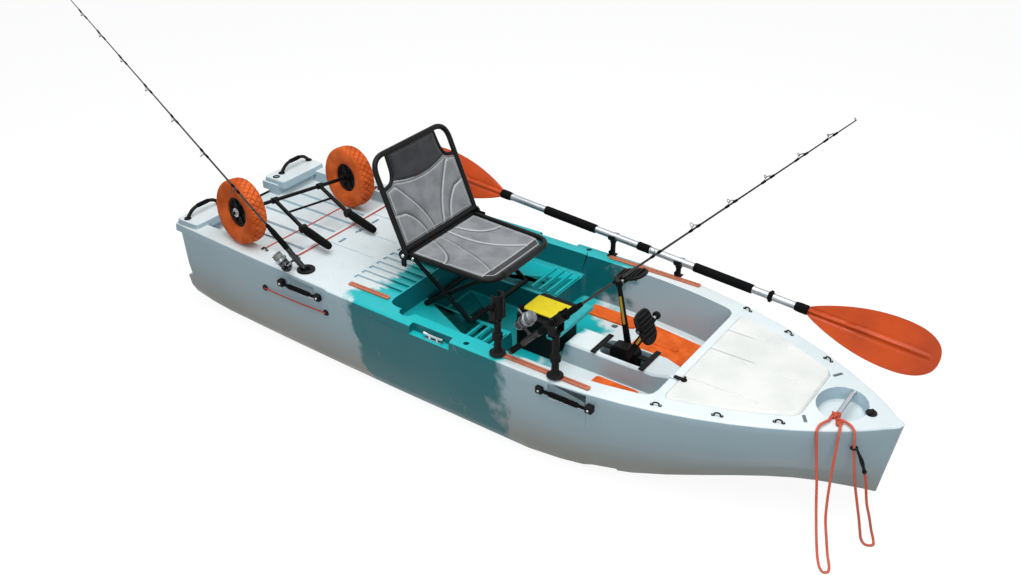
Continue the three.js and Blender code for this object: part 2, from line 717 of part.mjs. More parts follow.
function buildSternHandle(side) {
  const base = hull.deck + hull.aft_deck_rise + quarter.rise + FIT;
  const points = [
    v3(0, stern_handle.inner, 0), v3(0, stern_handle.inner + stern_handle.rise, stern_handle.rise),
    v3(0, stern_handle.outer - stern_handle.rise, stern_handle.rise), v3(0, stern_handle.outer, 0),
  ].map((p) => p.add(v3(0, 0, stern_handle.foot_plate / 2)));
  const arch = tube(bentPath(points, stern_handle.rise), stern_handle.tube, 10);
  const floor = block(
    -stern_handle.foot * 2, stern_handle.foot * 2, 0, stern_handle.outer + stern_handle.rise * 2,
    -stern_handle.rise * 2, 0,
  );
  const feet = [stern_handle.inner, stern_handle.outer].map((y) => {
    return disc(0, y, 0, stern_handle.foot_plate, stern_handle.foot);
  });
  const shape = join(cut(arch, floor), feet);
  const name = side > 0 ? "stern_handle_port" : "stern_handle_starboard";
  return piece(name, side > 0 ? shape : mirrored(shape), materials.tube, stern_handle.x, 0, base);
}

function buildSideHandle(name, x, side) {
  const middle = halfBeam(x) + handle.stand;
  const bar = pole(v3(x - handle.half, middle, handle.z), v3(x + handle.half, middle, handle.z), handle.bar, 8);
  const foot = (at) => block(
    at - handle.pad / 2, at + handle.pad / 2, middle - handle.stand * 3, middle + handle.pad_plate,
    handle.z - handle.pad / 2, handle.z + handle.pad / 2,
  );
  const raw = join(bar, foot(x - handle.half), foot(x + handle.half));
  const shape = cut(raw, outerHull).translate(-x, -middle, -handle.z);
  return piece(name, side > 0 ? shape : mirrored(shape), materials.black, x, side * middle, handle.z);
}

function buildTrack(name, aft, fore, y) {
  const half = rack.width / 2;
  const bar = slab(oblong(aft, fore, y - half, y + half, half / 2, 2), 0, rack.height);
  const inner = rack.slot / 2;
  const low = rack.height - rack.slot_depth;
  const slot = block(aft + half, fore - half, y - inner, y + inner, low, rack.height + OVERRUN);
  return piece(name, cut(bar, slot), materials.salmon, 0, 0, hull.deck + FIT);
}

// Rod holders, rods and reels
function buildHolderBase(name, x, pivotZ) {
  const rise = rack.height + 2 * FIT;
  const lift = pivotZ - hull.deck;
  const inner = holder.cradle + holder.wall + holder.fork_gap;
  const outer = inner + holder.fork;
  const swing = Math.hypot(holder.cradle_length / 2, holder.cradle + holder.wall) + holder.fork_gap;
  const low = lift - swing - holder.fork;
  const flange = disc(0, 0, rise, rise + holder.flange_plate, holder.flange);
  const neck = disc(0, 0, rise, low + holder.fork / 2, holder.neck);
  const sleeveLow = rise + 2 * holder.flange;
  const sleeve = disc(0, 0, sleeveLow, sleeveLow + holder.band, holder.neck * sleeve_share);
  const yoke = block(-holder.neck, holder.neck, -outer, outer, low, lift + holder.neck);
  const gap = block(
    -holder.neck - OVERRUN, holder.neck + OVERRUN, -inner, inner, low + holder.fork, lift + holder.neck + OVERRUN,
  );
  const screw = [-1, 1].map((side) => {
    const start = v3(0, side * (outer - holder.fork / 2), lift);
    return pole(start, v3(0, side * (outer + holder.screw), lift), holder.screw, 10);
  });
  const shape = join(flange, neck, sleeve, cut(yoke, gap), screw);
  return piece(name, shape, materials.black, x, -holder.y, hull.deck);
}

// An open channel that turns on the post: a rod lies in it, and lifts out through the gap on top.
function buildCradle(name, x, pivotZ, tilt) {
  const half = holder.cradle_length / 2;
  const outer = holder.cradle + holder.wall;
  const shell = pole(v3(0, 0, -half), v3(0, 0, half), outer, 16);
  const bore = pole(v3(0, 0, -half - OVERRUN), v3(0, 0, half + OVERRUN), holder.cradle, 16);
  const mouth = block(-outer - OVERRUN, 0, -holder.cradle, holder.cradle, -half - OVERRUN, half + OVERRUN);
  const mesh = piece(name, cut(shell, bore, mouth), materials.black, x, -holder.y, pivotZ);
  mesh.rotation.y = radians(tilt);
  return mesh;
}

function buildFlushHolder(name, side) {
  const group = flushHolderGroup(side);
  const inverse = group.matrixWorld.clone().invert();
  const outer = flush.bore + flush.wall;
  const sleeve = turned([
    [0, -flush.depth], [outer, -flush.depth], [outer, flush.flange], [flush.bore, flush.flange],
    [flush.bore, -flush.depth + flush.wall], [0, -flush.depth + flush.wall],
  ], 14).rotateZ(Math.PI / 2);
  const height = deckHeight(flush.x);
  const collar = disc(flush.x, side * flush.y, height + FIT, height + flush.flange_plate + FIT, flush.flange, 18);
  const above = block(
    flush.x - flush.flange * 3, flush.x + flush.flange * 3, side * flush.y - flush.flange * 2,
    side * flush.y + flush.flange * 2, height + flush.flange_plate + FIT, height + flush.depth,
  );
  const bore = pole(v3(0, 0, -flush.depth + flush.wall), v3(0, 0, flush.depth), flush.bore, 14);
  const openBore = bore.applyMatrix4(group.matrixWorld);
  const placed = sleeve.applyMatrix4(group.matrixWorld);
  const shape = cut(join(placed, collar), above, openBore).applyMatrix4(inverse);
  const mesh = piece(name, shape, materials.black);
  group.add(mesh);
  return group;
}

// The rod stands on the closed foot of the recessed holder.
const rodButt = flush.depth - flush.wall - FIT;

function rodBlank() {
  const r = fishing_rod;
  const gripEnd = r.grip_start + r.grip_length;
  return turned([
    [0, -rodButt], [r.butt, -rodButt], [r.butt, 0], [r.grip, r.grip_start], [r.grip, gripEnd - r.butt],
    [r.blank, gripEnd], [r.tip, r.length - rodButt], [0, r.length - rodButt],
  ], 8);
}

function buildRod(name, turn, reelUp, hand) {
  const group = new THREE.Group();
  const r = fishing_rod;
  group.rotation.z = radians(turn);
  const drop = -r.reel_drop;
  const stem = block(drop, 0, -r.stem / 2, r.stem / 2, reelUp - r.stem, reelUp + r.stem);
  const gear = pole(v3(drop, -r.body, reelUp), v3(drop, r.body, reelUp), r.body * gear_share, 12);
  const front = reelUp + r.body * nose_share;
  const nose = pole(v3(drop, 0, reelUp), v3(drop, 0, front), r.body, 12, r.body * nose_taper_share);
  group.add(piece(`${name}_rod`, join(rodBlank(), stem, gear, nose), materials.black));
  const spoolProfile = spool_profile_shares.map(([radius, z]) => [radius * r.spool, z * r.spool_length]);
  const spool = turned(spoolProfile, 14);
  const rotor = piece(`${name}_reel_spool`, spool, materials.chrome, drop, 0, front + FIT);
  const out = r.spool + r.crank_gap - r.body;
  const arm = block(-r.crank, r.stem, out, out + r.stem, -r.stem / 2, r.stem / 2);
  const axle = pole(v3(0, 0, 0), v3(0, out + r.stem, 0), r.stem, 8);
  const knob = pole(v3(-r.crank, out, 0), v3(-r.crank, out + r.knob_length, 0), r.knob, 8);
  const shape = join(arm, axle, knob);
  const crank = piece(
    `${name}_reel_handle`, hand > 0 ? shape : mirrored(shape), materials.black, drop,
    hand * (r.body + FIT), reelUp,
  );
  group.add(rotor, crank);
  return group;
}

function buildRods() {
  const rearHolder = flushHolderGroup(-1);
  rearHolder.add(buildRod("rear", 90, fishing_rod.reel_up, -1));
  const fore = new THREE.Group();
  fore.position.set(holder.fore_x, -holder.y, holder.fore_z);
  fore.rotation.y = radians(cradle_tilt_fore);
  const inCradle = buildRod("fore", 0, fishing_rod.fore_reel_up, 1);
  const rest = holder.cradle * Math.cos(Math.PI / 16) - fishing_rod.grip - FIT;
  inCradle.position.set(rest, 0, -fishing_rod.fore_grip_up);
  fore.add(inCradle);
  return [rearHolder, fore];
}

// Paddle
function paddleAxis() {
  const aft = v3(paddle.aft_x, paddle.y, paddle.aft_z);
  const fore = v3(paddle.fore_x, paddle.y, paddle.fore_z);
  return { aft, fore, length: aft.distanceTo(fore), pitch: Math.atan2(aft.z - fore.z, fore.x - aft.x) };
}

const paddleHeight = (x) => lerp(
  paddle.aft_z, paddle.fore_z, (x - paddle.aft_x) / (paddle.fore_x - paddle.aft_x),
);

function bladeGeometry() {
  const width_shares = [0.18, 0.42, 0.78, 1, 0.96, 0.72, 0.3];
  const place_shares = [0, 0.1, 0.32, 0.58, 0.78, 0.93, 1];
  const edge = width_shares.map((share, i) => v2(paddle.blade * place_shares[i], paddle.blade_half * share));
  const upper = new THREE.SplineCurve(edge).getPoints(14);
  const lower = upper.map((p) => v2(p.x, -p.y)).reverse();
  const half = paddle.blade_plate / 2;
  const plate = slab([...upper, ...lower], -half, half);
  const spine = pole(v3(0, 0, 0), v3(paddle.blade * place_shares[4], 0, 0), paddle.rib, 8, half);
  return join(plate, spine).rotateX(Math.PI / 2);
}

function buildPaddle() {
  const axis = paddleAxis();
  const group = new THREE.Group();
  group.position.copy(axis.aft);
  group.rotation.y = axis.pitch;
  const end = v3(axis.length, 0, 0);
  const shaftPole = pole(v3(0, 0, 0), end, paddle.shaft, ROUND);
  const collars = [0, axis.length].map((x) => {
    const inward = x ? -paddle.collar_length : paddle.collar_length;
    return pole(v3(x, 0, 0), v3(x + inward, 0, 0), paddle.collar, ROUND);
  });
  const ringAt = axis.length - paddle.collar_length * 3;
  const rings = [ringAt, axis.length - ringAt].map((x) => {
    return pole(v3(x, 0, 0), v3(x + paddle.ring_plate, 0, 0), paddle.ring, ROUND);
  });
  const quarterPoint = axis.length / 4;
  const grips = [quarterPoint, axis.length - quarterPoint].map((x) => {
    const half = paddle.grip_length / 2;
    return pole(v3(x - half, 0, 0), v3(x + half, 0, 0), paddle.grip, ROUND);
  });
  group.add(piece("paddle_shaft", join(shaftPole, collars, rings, grips), materials.tube));
  const fore = piece("paddle_blade_fore", bladeGeometry(), materials.blade, axis.length + FIT);
  fore.rotation.x = -radians(blade_turn);
  const aft = piece("paddle_blade_aft", bladeGeometry().rotateZ(Math.PI), materials.blade, -FIT);
  aft.rotation.x = -radians(blade_turn);
  group.add(fore, aft);
  return group;
}

function buildPaddleClip(name, x) {
  const centre = paddleHeight(x);
  const base = hull.deck + FIT;
  const half = paddle.clip_width / 2;
  const inner = paddle.shaft + paddle.clip_gap;
  const outer = inner + paddle.clip_wall;
  const foot = block(-half, half, -paddle.clip_foot, half / 2, 0, paddle.clip_wall);
  const post = block(-half / 2, half / 2, -paddle.clip_foot, half / 2, 0, centre - base - inner / 2);
  const ring = pole(v3(-half, 0, centre - base), v3(half, 0, centre - base), outer, 14);
  const bore = pole(v3(-paddle.clip_width, 0, centre - base), v3(paddle.clip_width, 0, centre - base), inner, 14);
  const mouth = block(
    -paddle.clip_width, paddle.clip_width, -inner, inner, centre - base + inner / 3,
    centre - base + outer + OVERRUN,
  );
  const lean = paddleAxis().pitch;
  const turn = (shape) => shape.translate(0, 0, base - centre).rotateY(lean).translate(0, 0, centre - base);
  const shape = join(foot, cut(join(post, turn(ring)), turn(bore), mouth));
  return piece(name, shape, materials.black, x, paddle.y, base);
}

// Pedal drive
function buildSpine() {
  const half = drive.spine_half;
  const outline = softened([
    v2(drive.spine_aft, fins.pivot_z + fins.shaft * 3), v2(drive.spine_fore, fins.pivot_z + fins.shaft * 3),
    v2(drive.spine_fore, drive.top), v2(drive.spine_aft, drive.top),
  ], drive.hub);
  const body = sidePlate(outline, 2 * half);
  const long = drive.foot_length;
  const cross = drive.flange_width;
  const middle = (drive.spine_aft + drive.spine_fore) / 2;
  const seatZ = cockpit.ridge + FIT;
  const bridge = (x) => block(x, x + cross, -well.half - cross, well.half + cross, seatZ, seatZ + drive.flange);
  const rails = block(middle - long / 2, middle + long / 2, -half / 2, half / 2, seatZ, seatZ + drive.flange);
  const ends = [
    middle - long / 2 - cross * (1 + bridge_lap_share), middle + long / 2 + cross * bridge_lap_share,
  ].map(bridge);
  const keel = block(
    middle - long / 2 - cross, middle + long / 2 + cross, -half / 3, half / 3, seatZ - FIT, seatZ + drive.flange,
  );
  const under = fins.pivot_z + fins.shaft + FIT;
  const finAxle = block(
    middle - fins.offset, middle + fins.offset, -half / 2, half / 2, under, under + fins.bearing,
  );
  const hubEnd = (side) => v3(fins.pivot_x, side * (half + drive.flange), drive.pivot_z);
  const hubs = pole(hubEnd(-1), hubEnd(1), drive.hub, 14);
  return piece("drive_spine", join(body, rails, ends, keel, finAxle, hubs), materials.black);
}

function buildArm(side, angle) {
  const y = drive.arm_y;
  const half = drive.arm_plate / 2;
  const wide = drive.arm_width / 2;
  const inner = drive.spine_half + drive.flange + FIT;
  const outline = [
    v2(-wide, 0), v2(wide, 0), v2(wide / 2, drive.arm), v2(-wide / 2, drive.arm),
  ];
  const eye = pole(v3(0, inner, 0), v3(0, y + half, 0), wide, 12);
  const shank = sidePlate(outline.map((p) => v2(p.x, p.y)), half, y);
  const top = pole(v3(0, y - half / 2, drive.arm), v3(0, y + half, drive.arm), wide, 10);
  const pinEnd = drive.pedal_y + drive.pedal_width / 2 + drive.pin;
  const pin = pole(v3(0, y, drive.arm), v3(0, pinEnd, drive.arm), drive.pin, 8);
  const shape = join(eye, shank, top, pin);
  const name = side > 0 ? "pedal_arm_port" : "pedal_arm_starboard";
  const mesh = piece(name, side > 0 ? shape : mirrored(shape), materials.fin, fins.pivot_x, 0, drive.pivot_z);
  mesh.rotation.y = radians(angle);
  return mesh;
}

function buildPedal(side, angle, tilt) {
  const along = drive.pedal_length / 2;
  const across = drive.pedal_width / 2;
  const inward = across * pedal_corner_share;
  const heel = -along * pedal_corner_share;
  const outline = softened([v2(heel, -across), v2(along, -inward), v2(along, inward), v2(heel, across)], inward);
  const plate = slab(outline, -drive.pedal_plate / 2, drive.pedal_plate / 2);
  const ribs = range(pedal_rib_count).map((i) => {
    const x = (i - (pedal_rib_count - 1) / 2) * drive.pedal_rib_pitch;
    const high = drive.pedal_plate / 2 + drive.pedal_rib;
    return block(x - drive.pedal_rib / 2, x + drive.pedal_rib / 2, -inward, inward, -high, high);
  });
  const boss = pole(v3(0, -across, 0), v3(0, across, 0), drive.pin * pedal_boss_share, 12);
  const boreRadius = (drive.pin + FIT) / Math.cos(Math.PI / 8);
  const bore = pole(v3(0, -across - OVERRUN, 0), v3(0, across + OVERRUN, 0), boreRadius, 8);
  const shape = cut(join(plate, ribs, boss), bore);
  const name = side > 0 ? "pedal_port" : "pedal_starboard";
  const swing = radians(angle);
  const x = fins.pivot_x + drive.arm * Math.sin(swing);
  const z = drive.pivot_z + drive.arm * Math.cos(swing);
  const mesh = piece(name, shape, materials.black, x, side * drive.pedal_y, z);
  mesh.rotation.y = radians(tilt);
  return mesh;
}

function buildFin(side) {
  const half = fins.plate / 2;
  const outline = new THREE.SplineCurve([
    v2(-fins.root / 2, 0), v2(-fins.root / 2, fins.length / 2), v2(-fins.tip / 2, fins.length),
    v2(fins.tip / 2, fins.length), v2(fins.root / 3, fins.length / 2), v2(fins.root / 2, 0),
  ]).getPoints(14);
  const blade = slab(outline.reverse(), -half, half);
  const sleeve = pole(v3(-fins.root / 2, 0, 0), v3(fins.root / 2, 0, 0), fins.shaft, 10);
  const shape = join(blade, sleeve);
  const name = side > 0 ? "fin_fore" : "fin_aft";
  const turnedShape = side > 0 ? shape : mirrored(shape);
  return piece(name, turnedShape, materials.fin, fins.pivot_x + side * fins.offset, 0, fins.pivot_z);
}

// Seat
function buildSeatFrame() {
  const r = seat.tube;
  const aftZ = seat.pivot_z;
  const corners = [
    v3(seat.pivot_x, seat.half, aftZ), v3(seat.pan_fore, seat.pan_half_fore, seat.pan_fore_z),
    v3(seat.pan_fore, -seat.pan_half_fore, seat.pan_fore_z), v3(seat.pivot_x, -seat.half, aftZ),
  ];
  const rim = tube(bentPath(corners, seat.bow_radius), r, 24);
  const rear = pole(corners[3], corners[0], r, 8);
  return piece("seat_pan_frame", join(rim, rear), materials.tube);
}

function panPlace(x) {
  return lerp(seat.pivot_z, seat.pan_fore_z, (x - seat.pivot_x) / (seat.pan_fore - seat.pivot_x));
}

function buildSeatMesh() {
  const aft = seat.pivot_x + seat.tube + seat.pan_gap;
  const fore = seat.pan_fore - seat.tube - seat.pan_gap;
  const wide = (x) => {
    const corner = Math.max(0, (x - fore + seat.bow_radius) / seat.bow_radius);
    const side = lerp(seat.half, seat.pan_half_fore, (x - aft) / (fore - aft));
    return side - seat.tube - seat.pan_gap - pan_corner_share * seat.bow_radius * corner * corner;
  };
  const rows = range(9).map((i) => lerp(aft, fore, i / 8));
  const rings = rows.map((x) => {
    const bow = Math.sin((Math.PI * (x - aft)) / (fore - aft));
    const columns = range(7).map((j) => (j / 6) * 2 - 1);
    const height = (s) => panPlace(x) - seat.sag * bow * (1 - s * s);
    const top = columns.map((s) => v3(x, s * wide(x), height(s) + seat.mesh / 2));
    const bottom = columns.map((s) => v3(x, s * wide(x), height(s) - seat.mesh / 2)).reverse();
    return [...top, ...bottom];
  });
  return piece("seat_pan_mesh", loft(rings), materials.mesh);
}

// The back is drawn upright in its own plane, X across the seat turned to Y, then leaned aft.
function buildSeatBack() {
  const group = new THREE.Group();
  group.position.set(seat.pivot_x, 0, seat.pivot_z + 2 * seat.tube + FIT);
  group.rotation.y = -Math.atan2(seat.back_lean, seat.back_length - 2 * seat.tube);
  const height = Math.hypot(seat.back_lean, seat.back_length - 2 * seat.tube);
  const half = seat.half + seat.tube;
  const r = seat.tube;
  const rim = tube(bentPath([
    v3(0, half, 0), v3(0, half, height), v3(0, -half, height), v3(0, -half, 0),
  ], seat.bow_radius), r, 28);
  const cross = pole(v3(0, -half, 0), v3(0, half, 0), r, 8);
  const hole = seat.hand_hole;
  const loop = (side) => tube(bentPath([
    v3(0, side * half, height - hole * loop_low_share),
    v3(0, side * (half - hole * loop_inset_share), height - hole * loop_corner_share),
    v3(0, side * (half - hole * loop_top_share), height),
  ], hole * loop_bend_share), r * loop_tube_share, 9);
  group.add(piece("seat_back_frame", join(rim, cross, loop(1), loop(-1)), materials.tube));
  const inner = half - r - seat.mesh_gap;
  const low = r + seat.mesh_gap;
  const band = height - hole * loop_low_share - r;
  const bandHalf = half - hole * loop_top_share - r - seat.mesh_gap;
  const seam = band - hole * seam_dip_share;
  const thick = seat.mesh / 2;
  const panel = softened([
    v2(-inner, low), v2(inner, low), v2(inner, band - r), v2(bandHalf, band), v2(0, seam),
    v2(-bandHalf, band), v2(-inner, band - r),
  ], r * 2);
  const upright = (outline) => slab(outline, -thick, thick).rotateX(Math.PI / 2).rotateZ(Math.PI / 2);
  const top = height - r - seat.mesh_gap;
  const head = softened([
    v2(-bandHalf, band), v2(0, seam - r), v2(bandHalf, band), v2(bandHalf, top), v2(-bandHalf, top),
  ], r);
  group.add(piece("seat_back_mesh", join(upright(panel), upright(head)), materials.mesh));
  return group;
}

function legGeometry(from, to, y) {
  const along = v2(to.x - from.x, to.y - from.y);
  const across = v2(-along.y, along.x).setLength(seat.leg_width / 2);
  const eye = across.clone().setLength(seat.pin);
  const outline = [
    v2(from.x + eye.x, from.y + eye.y), v2(from.x - eye.x, from.y - eye.y),
    v2(to.x - across.x, to.y - across.y), v2(to.x + across.x, to.y + across.y),
  ].reverse();
  return [y, -y].map((at) => sidePlate(outline, seat.leg_plate, at));
}

function buildSeatLeg(name, from, to, y) {
  const bars = legGeometry(from, to, y);
  const reach = y + seat.leg_plate / 2;
  const under = railPlace(from.x);
  const top = pole(v3(from.x, -under, from.y), v3(from.x, under, from.y), seat.pin, 8);
  const foot = pole(v3(to.x, -reach, to.y), v3(to.x, reach, to.y), seat.tube, 8);
  const shape = join(bars, top, foot).translate(-from.x, 0, -from.y);
  return piece(name, shape, materials.tube, from.x, 0, from.y);
}

// Half width of the pan frame's side rails, measured at x.
function railPlace(x) {
  return lerp(seat.half, seat.pan_half_fore, (x - seat.pivot_x) / (seat.pan_fore - seat.pivot_x));
}

function buildSeatLegs() {
  const under = seat.tube + seat.pin + FIT;
  const aftTop = v2(seat.pivot_x, panPlace(seat.pivot_x) - under);
  const foreTop = v2(seat.pan_fore - seat.bow_radius, panPlace(seat.pan_fore - seat.bow_radius) - under);
  const ground = cockpit.ledge + seat.tube + FIT;
  const wide = seat.pan_half_fore - seat.tube;
  return [
    buildSeatLeg("seat_leg_aft", aftTop, v2(seat.front_foot_x, ground), wide),
    buildSeatLeg("seat_leg_fore", foreTop, v2(seat.rear_foot_x, ground), wide - seat.leg_plate - FIT * 3),
  ];
}

// Section of the balloon tyre, with tread blocks round its crown.
function tyreGeometry() {
  const half = cart.tyre_width / 2;
  const wall = (cart.tyre - cart.rim) / 2;
  const profile_shares = [
    [0, -0.62], [0.4, -0.96], [0.8, -0.98], [1, -0.6], [1, 0], [1, 0.6], [0.8, 0.98], [0.4, 0.96], [0, 0.62],
  ];
  const rings = range(tyre_step_count).map((i) => {
    const turn = (2 * Math.PI * i) / tyre_step_count;
    return profile_shares.map(([radial, across], j) => {
      const lug = (i + Math.abs(j - 4)) % 3 === 0 && radial > 0.9 ? cart.tread : 0;
      const radius = cart.rim + 2 * wall * radial - lug;
      return v3(radius * Math.cos(turn), across * half, radius * Math.sin(turn));
    });
  });
  const count = profile_shares.length;
  const index = [];
  range(tyre_step_count).forEach((i) => range(count).forEach((j) => {
    const a = i * count + j;
    const b = i * count + ((j + 1) % count);
    const next = ((i + 1) % tyre_step_count) * count;
    index.push(a, b, next + ((j + 1) % count), a, next + ((j + 1) % count), next + j);
  }));
  return facets(rings.flat(), index);
}

function hubGeometry() {
  const r = cart.rim - FIT * 2;
  const half = cart.hub_half;
  const thin = half / 3;
  const wall = half * hub_wall_share;
  const boss = cart.cap * hub_boss_share;
  const web = r * hub_disc_share;
  const inner = r * hub_rim_share;
  const profile = [
    [cart.hub_bore, -half], [cart.cap, -half], [boss, -thin], [web, -thin], [inner, -wall], [r, -wall],
    [r, wall], [inner, wall], [web, thin], [boss, thin], [cart.cap, half], [cart.hub_bore, half],
    [cart.hub_bore, -half],
  ];
  return turned(profile, 16).rotateX(Math.PI / 2);
}

function buildCart() {
  const group = new THREE.Group();
  const high = hull.deck + hull.aft_deck_rise;
  const low = tank.floor + tank.rib - cart.settle;
  const roll = Math.asin((high - low) / cart.track);
  const standing = tyreGeometry().rotateX(-roll);
  standing.computeBoundingBox();
  const lift = FIT - standing.boundingBox.min.z;
  group.position.set(cart.x, cart.y, (high + low) / 2 + lift);
  group.rotation.set(-roll, 0, -radians(cart.yaw), "ZXY");
  const half = cart.track / 2;
  const tip = half + cart.hub_half + cart.collar_length;
  const axle = pole(v3(0, -tip, 0), v3(0, tip, 0), cart.axle, 12);
  const collars = [-1, 1].flatMap((side) => {
    const inner = side * (half - cart.hub_half - FIT);
    const outer = side * (half + cart.hub_half + FIT);
    const at = side * cart.collar_length;
    return [
      pole(v3(0, inner, 0), v3(0, inner - at, 0), cart.collar, 12),
      pole(v3(0, outer, 0), v3(0, outer + at / 2, 0), cart.collar, 12),
    ];
  });
  const arms = [-1, 1].flatMap((side) => {
    const y = side * cart.arm_y;
    const elbow = v3(cart.arm_fore, y, -cart.arm_drop);
    const reach = v3(0, side * cart.bracket / 2, 0);
    const end = elbow.clone().add(v3(cart.pad_length, 0, -cart.pad_drop));
    return [
      pole(elbow, end, cart.pad, 10, cart.pad * pad_taper_share),
      pole(v3(0, y, 0), elbow, cart.arm, 8),
      pole(elbow.clone().sub(reach), elbow.clone().add(reach), cart.bracket * bracket_share, 10),
    ];
  });
  const share = cart.brace_x / cart.arm_fore;
  const braceZ = -cart.arm_drop * share;
  const brace = pole(v3(cart.brace_x, -cart.arm_y, braceZ), v3(cart.brace_x, cart.arm_y, braceZ), cart.brace, 8);
  group.add(piece("cart_frame", join(axle, collars, arms, brace), materials.tube));
  for (const side of [-1, 1]) {
    const word = side > 0 ? "port" : "starboard";
    group.add(piece(`cart_tyre_${word}`, tyreGeometry(), materials.tyre, 0, side * half, 0));
    group.add(piece(`cart_hub_${word}`, hubGeometry(), materials.black, 0, side * half, 0));
  }
  return group;
}

// Console, foot pads and small fittings
function buildConsole() {
  const outline = oblong(box.aft, box.fore, -box.half, box.half, box.coaming);
  const outer = slab(outline, cockpit.floor + FIT, box.top);
  const inside = slab(inset(outline, box.wall), box.floor, box.top - box.wall);
  const lidOutline = oblong(0, box.lid_fore - box.lid_aft, -box.lid_half, box.lid_half, box.coaming / 2);
  const mouthHalf = box.lid_half - box.lip;
  const mouthOutline = oblong(
    box.lid_aft + box.lip, box.lid_fore - box.lip, -mouthHalf, mouthHalf, box.coaming / 2,
  );
  const mouth = slab(mouthOutline, box.top - box.wall - OVERRUN, box.top + OVERRUN);
  const lidPlate = slab(lidOutline, 0, box.lid_plate);
  const lid = piece("console_lid", lidPlate, materials.yellow, box.lid_aft, 0, box.top + FIT);
  return [piece("console_box", cut(outer, inside, mouth), materials.black), lid];
}

function padOutline(aft, fore, inner, outer, corner) {
  const reach = (x) => Math.min(outer, halfBeam(x) - hull.rim - cockpit.draft - cockpit.chamfer - pads.gap);
  return softened([
    v2(aft, inner), v2(fore - corner, inner), v2(fore, inner + corner), v2(fore, reach(fore)),
    v2(aft, reach(aft)),
  ], pads.gap);
}

function buildPads() {
  const inner = cockpit.ridge_aft_half + pads.gap;
  const fore = padOutline(pads.fore_aft, pads.fore_fore, inner, pads.outer, pads.strip);
  const aftInner = pads.outer - pads.strip;
  const aft = padOutline(pads.aft_aft + cockpit.channel / 2, pads.aft_fore, aftInner, pads.outer, pads.gap);
  const z = cockpit.floor + FIT;
  const ridgeAt = (inner + pads.outer) / 2;
  const ridge = block(
    pads.fore_aft + pads.strip / 2, pads.fore_fore - pads.strip, ridgeAt - pads.ridge, ridgeAt + pads.ridge,
    pads.plate / 2, pads.plate + pads.ridge_height,
  );
  const shapes = { fore: join(slab(fore, 0, pads.plate), ridge), aft: slab(aft, 0, pads.plate) };
  return Object.entries(shapes).flatMap(([word, shape]) => [
    piece(`floor_pad_${word}_port`, shape, materials.foam, 0, 0, z),
    piece(`floor_pad_${word}_starboard`, mirrored(shape), materials.foam, 0, 0, z),
  ]);
}

function buildRail() {
  const y = -rail.y;
  const beam = (x0, x1, low, high) => block(x0, x1, y - rail.half, y + rail.half, low, high);
  const bar = beam(rail.aft, rail.fore, rail.z - rail.height / 2, rail.z);
  const feet = [rail.aft, rail.fore - rail.foot].map((x) => {
    const outer = y - rail.half * 6;
    return block(x, x + rail.foot, outer, y + rail.half, rail.z - rail.height, rail.z - rail.height / 3);
  });
  const wall = cut(join(bar, feet), hollowWall());
  return piece("inner_rail", wall, materials.black);
}

// What lies outboard of the cockpit's inner wall, grown by the clearance.
function hollowWall() {
  const outline = deckOutline(cockpit.aft, cockpit.fore, hull.rim + FIT, cockpit.corner);
  const around = block(cockpit.aft, cockpit.fore, -hull.half_beam, 0, cockpit.floor, hull.deck - OVERRUN - FIT);
  return cut(around, hollow(outline, cockpit.floor, hull.deck, cockpit.draft, cockpit.chamfer));
}

// Bow ropes
const left_route = [
  [1341, -76, 400.6], [1339, -98, 405.4], [1338, -124, 409], [1330, -148, 410], [1325, -168, 411],
  [1324, -186, 404],
  [1328, -193, 380], [1335, -197, 345], [1346, -203, 285], [1360, -212, 220], [1378, -236, 150],
  [1402, -272, 84], [1424, -305, 36], [1440, -328, 12], [1456, -350, 5], [1472, -362, 5],
  [1484, -352, 5], [1480, -332, 8], [1462, -305, 26], [1440, -275, 68], [1420, -250, 118],
  [1408, -226, 175], [1400, -204, 235], [1394, -184, 300], [1390, -168, 360], [1388, -158, 394],
  [1384, -144, 408], [1378, -128, 410], [1370, -118, 407],
];
const right_route = [
  [1351, -76, 400.1], [1361, -95, 405.4], [1378, -101, 409], [1396, -107, 410], [1412, -116, 410],
  [1426, -128, 404],
  [1433, -136, 384], [1438, -140, 350], [1450, -146, 290], [1466, -150, 220], [1484, -150, 150],
  [1500, -150, 90], [1512, -152, 44], [1522, -156, 14], [1536, -162, 5], [1552, -160, 5],
  [1562, -148, 5], [1556, -134, 12], [1542, -126, 40], [1526, -124, 90], [1510, -126, 140],
  [1500, -126, 186], [1494, -127, 222], [1488, -129, 246], [1484, -131, 262],
];

function buildRope(name, route) {
  const path = new THREE.CatmullRomCurve3(route.map((p) => v3(...p)), false, "centripetal");
  const steps = Math.round(path.getLength() / (cord.radius * cord.step_share * 2));
  const mesh = piece(name, tube(path, cord.radius, steps, 8), materials.rope);
  return mesh;
}

function ringPlate(inner, outer, thickness) {
  const shape = new THREE.Shape(circle(outer, 12));
  shape.holes.push(new THREE.Path(circle(inner, 12)));
  const plate = new THREE.ExtrudeGeometry(shape, { depth: thickness, bevelEnabled: false });
  return plate.translate(0, 0, -thickness / 2);
}

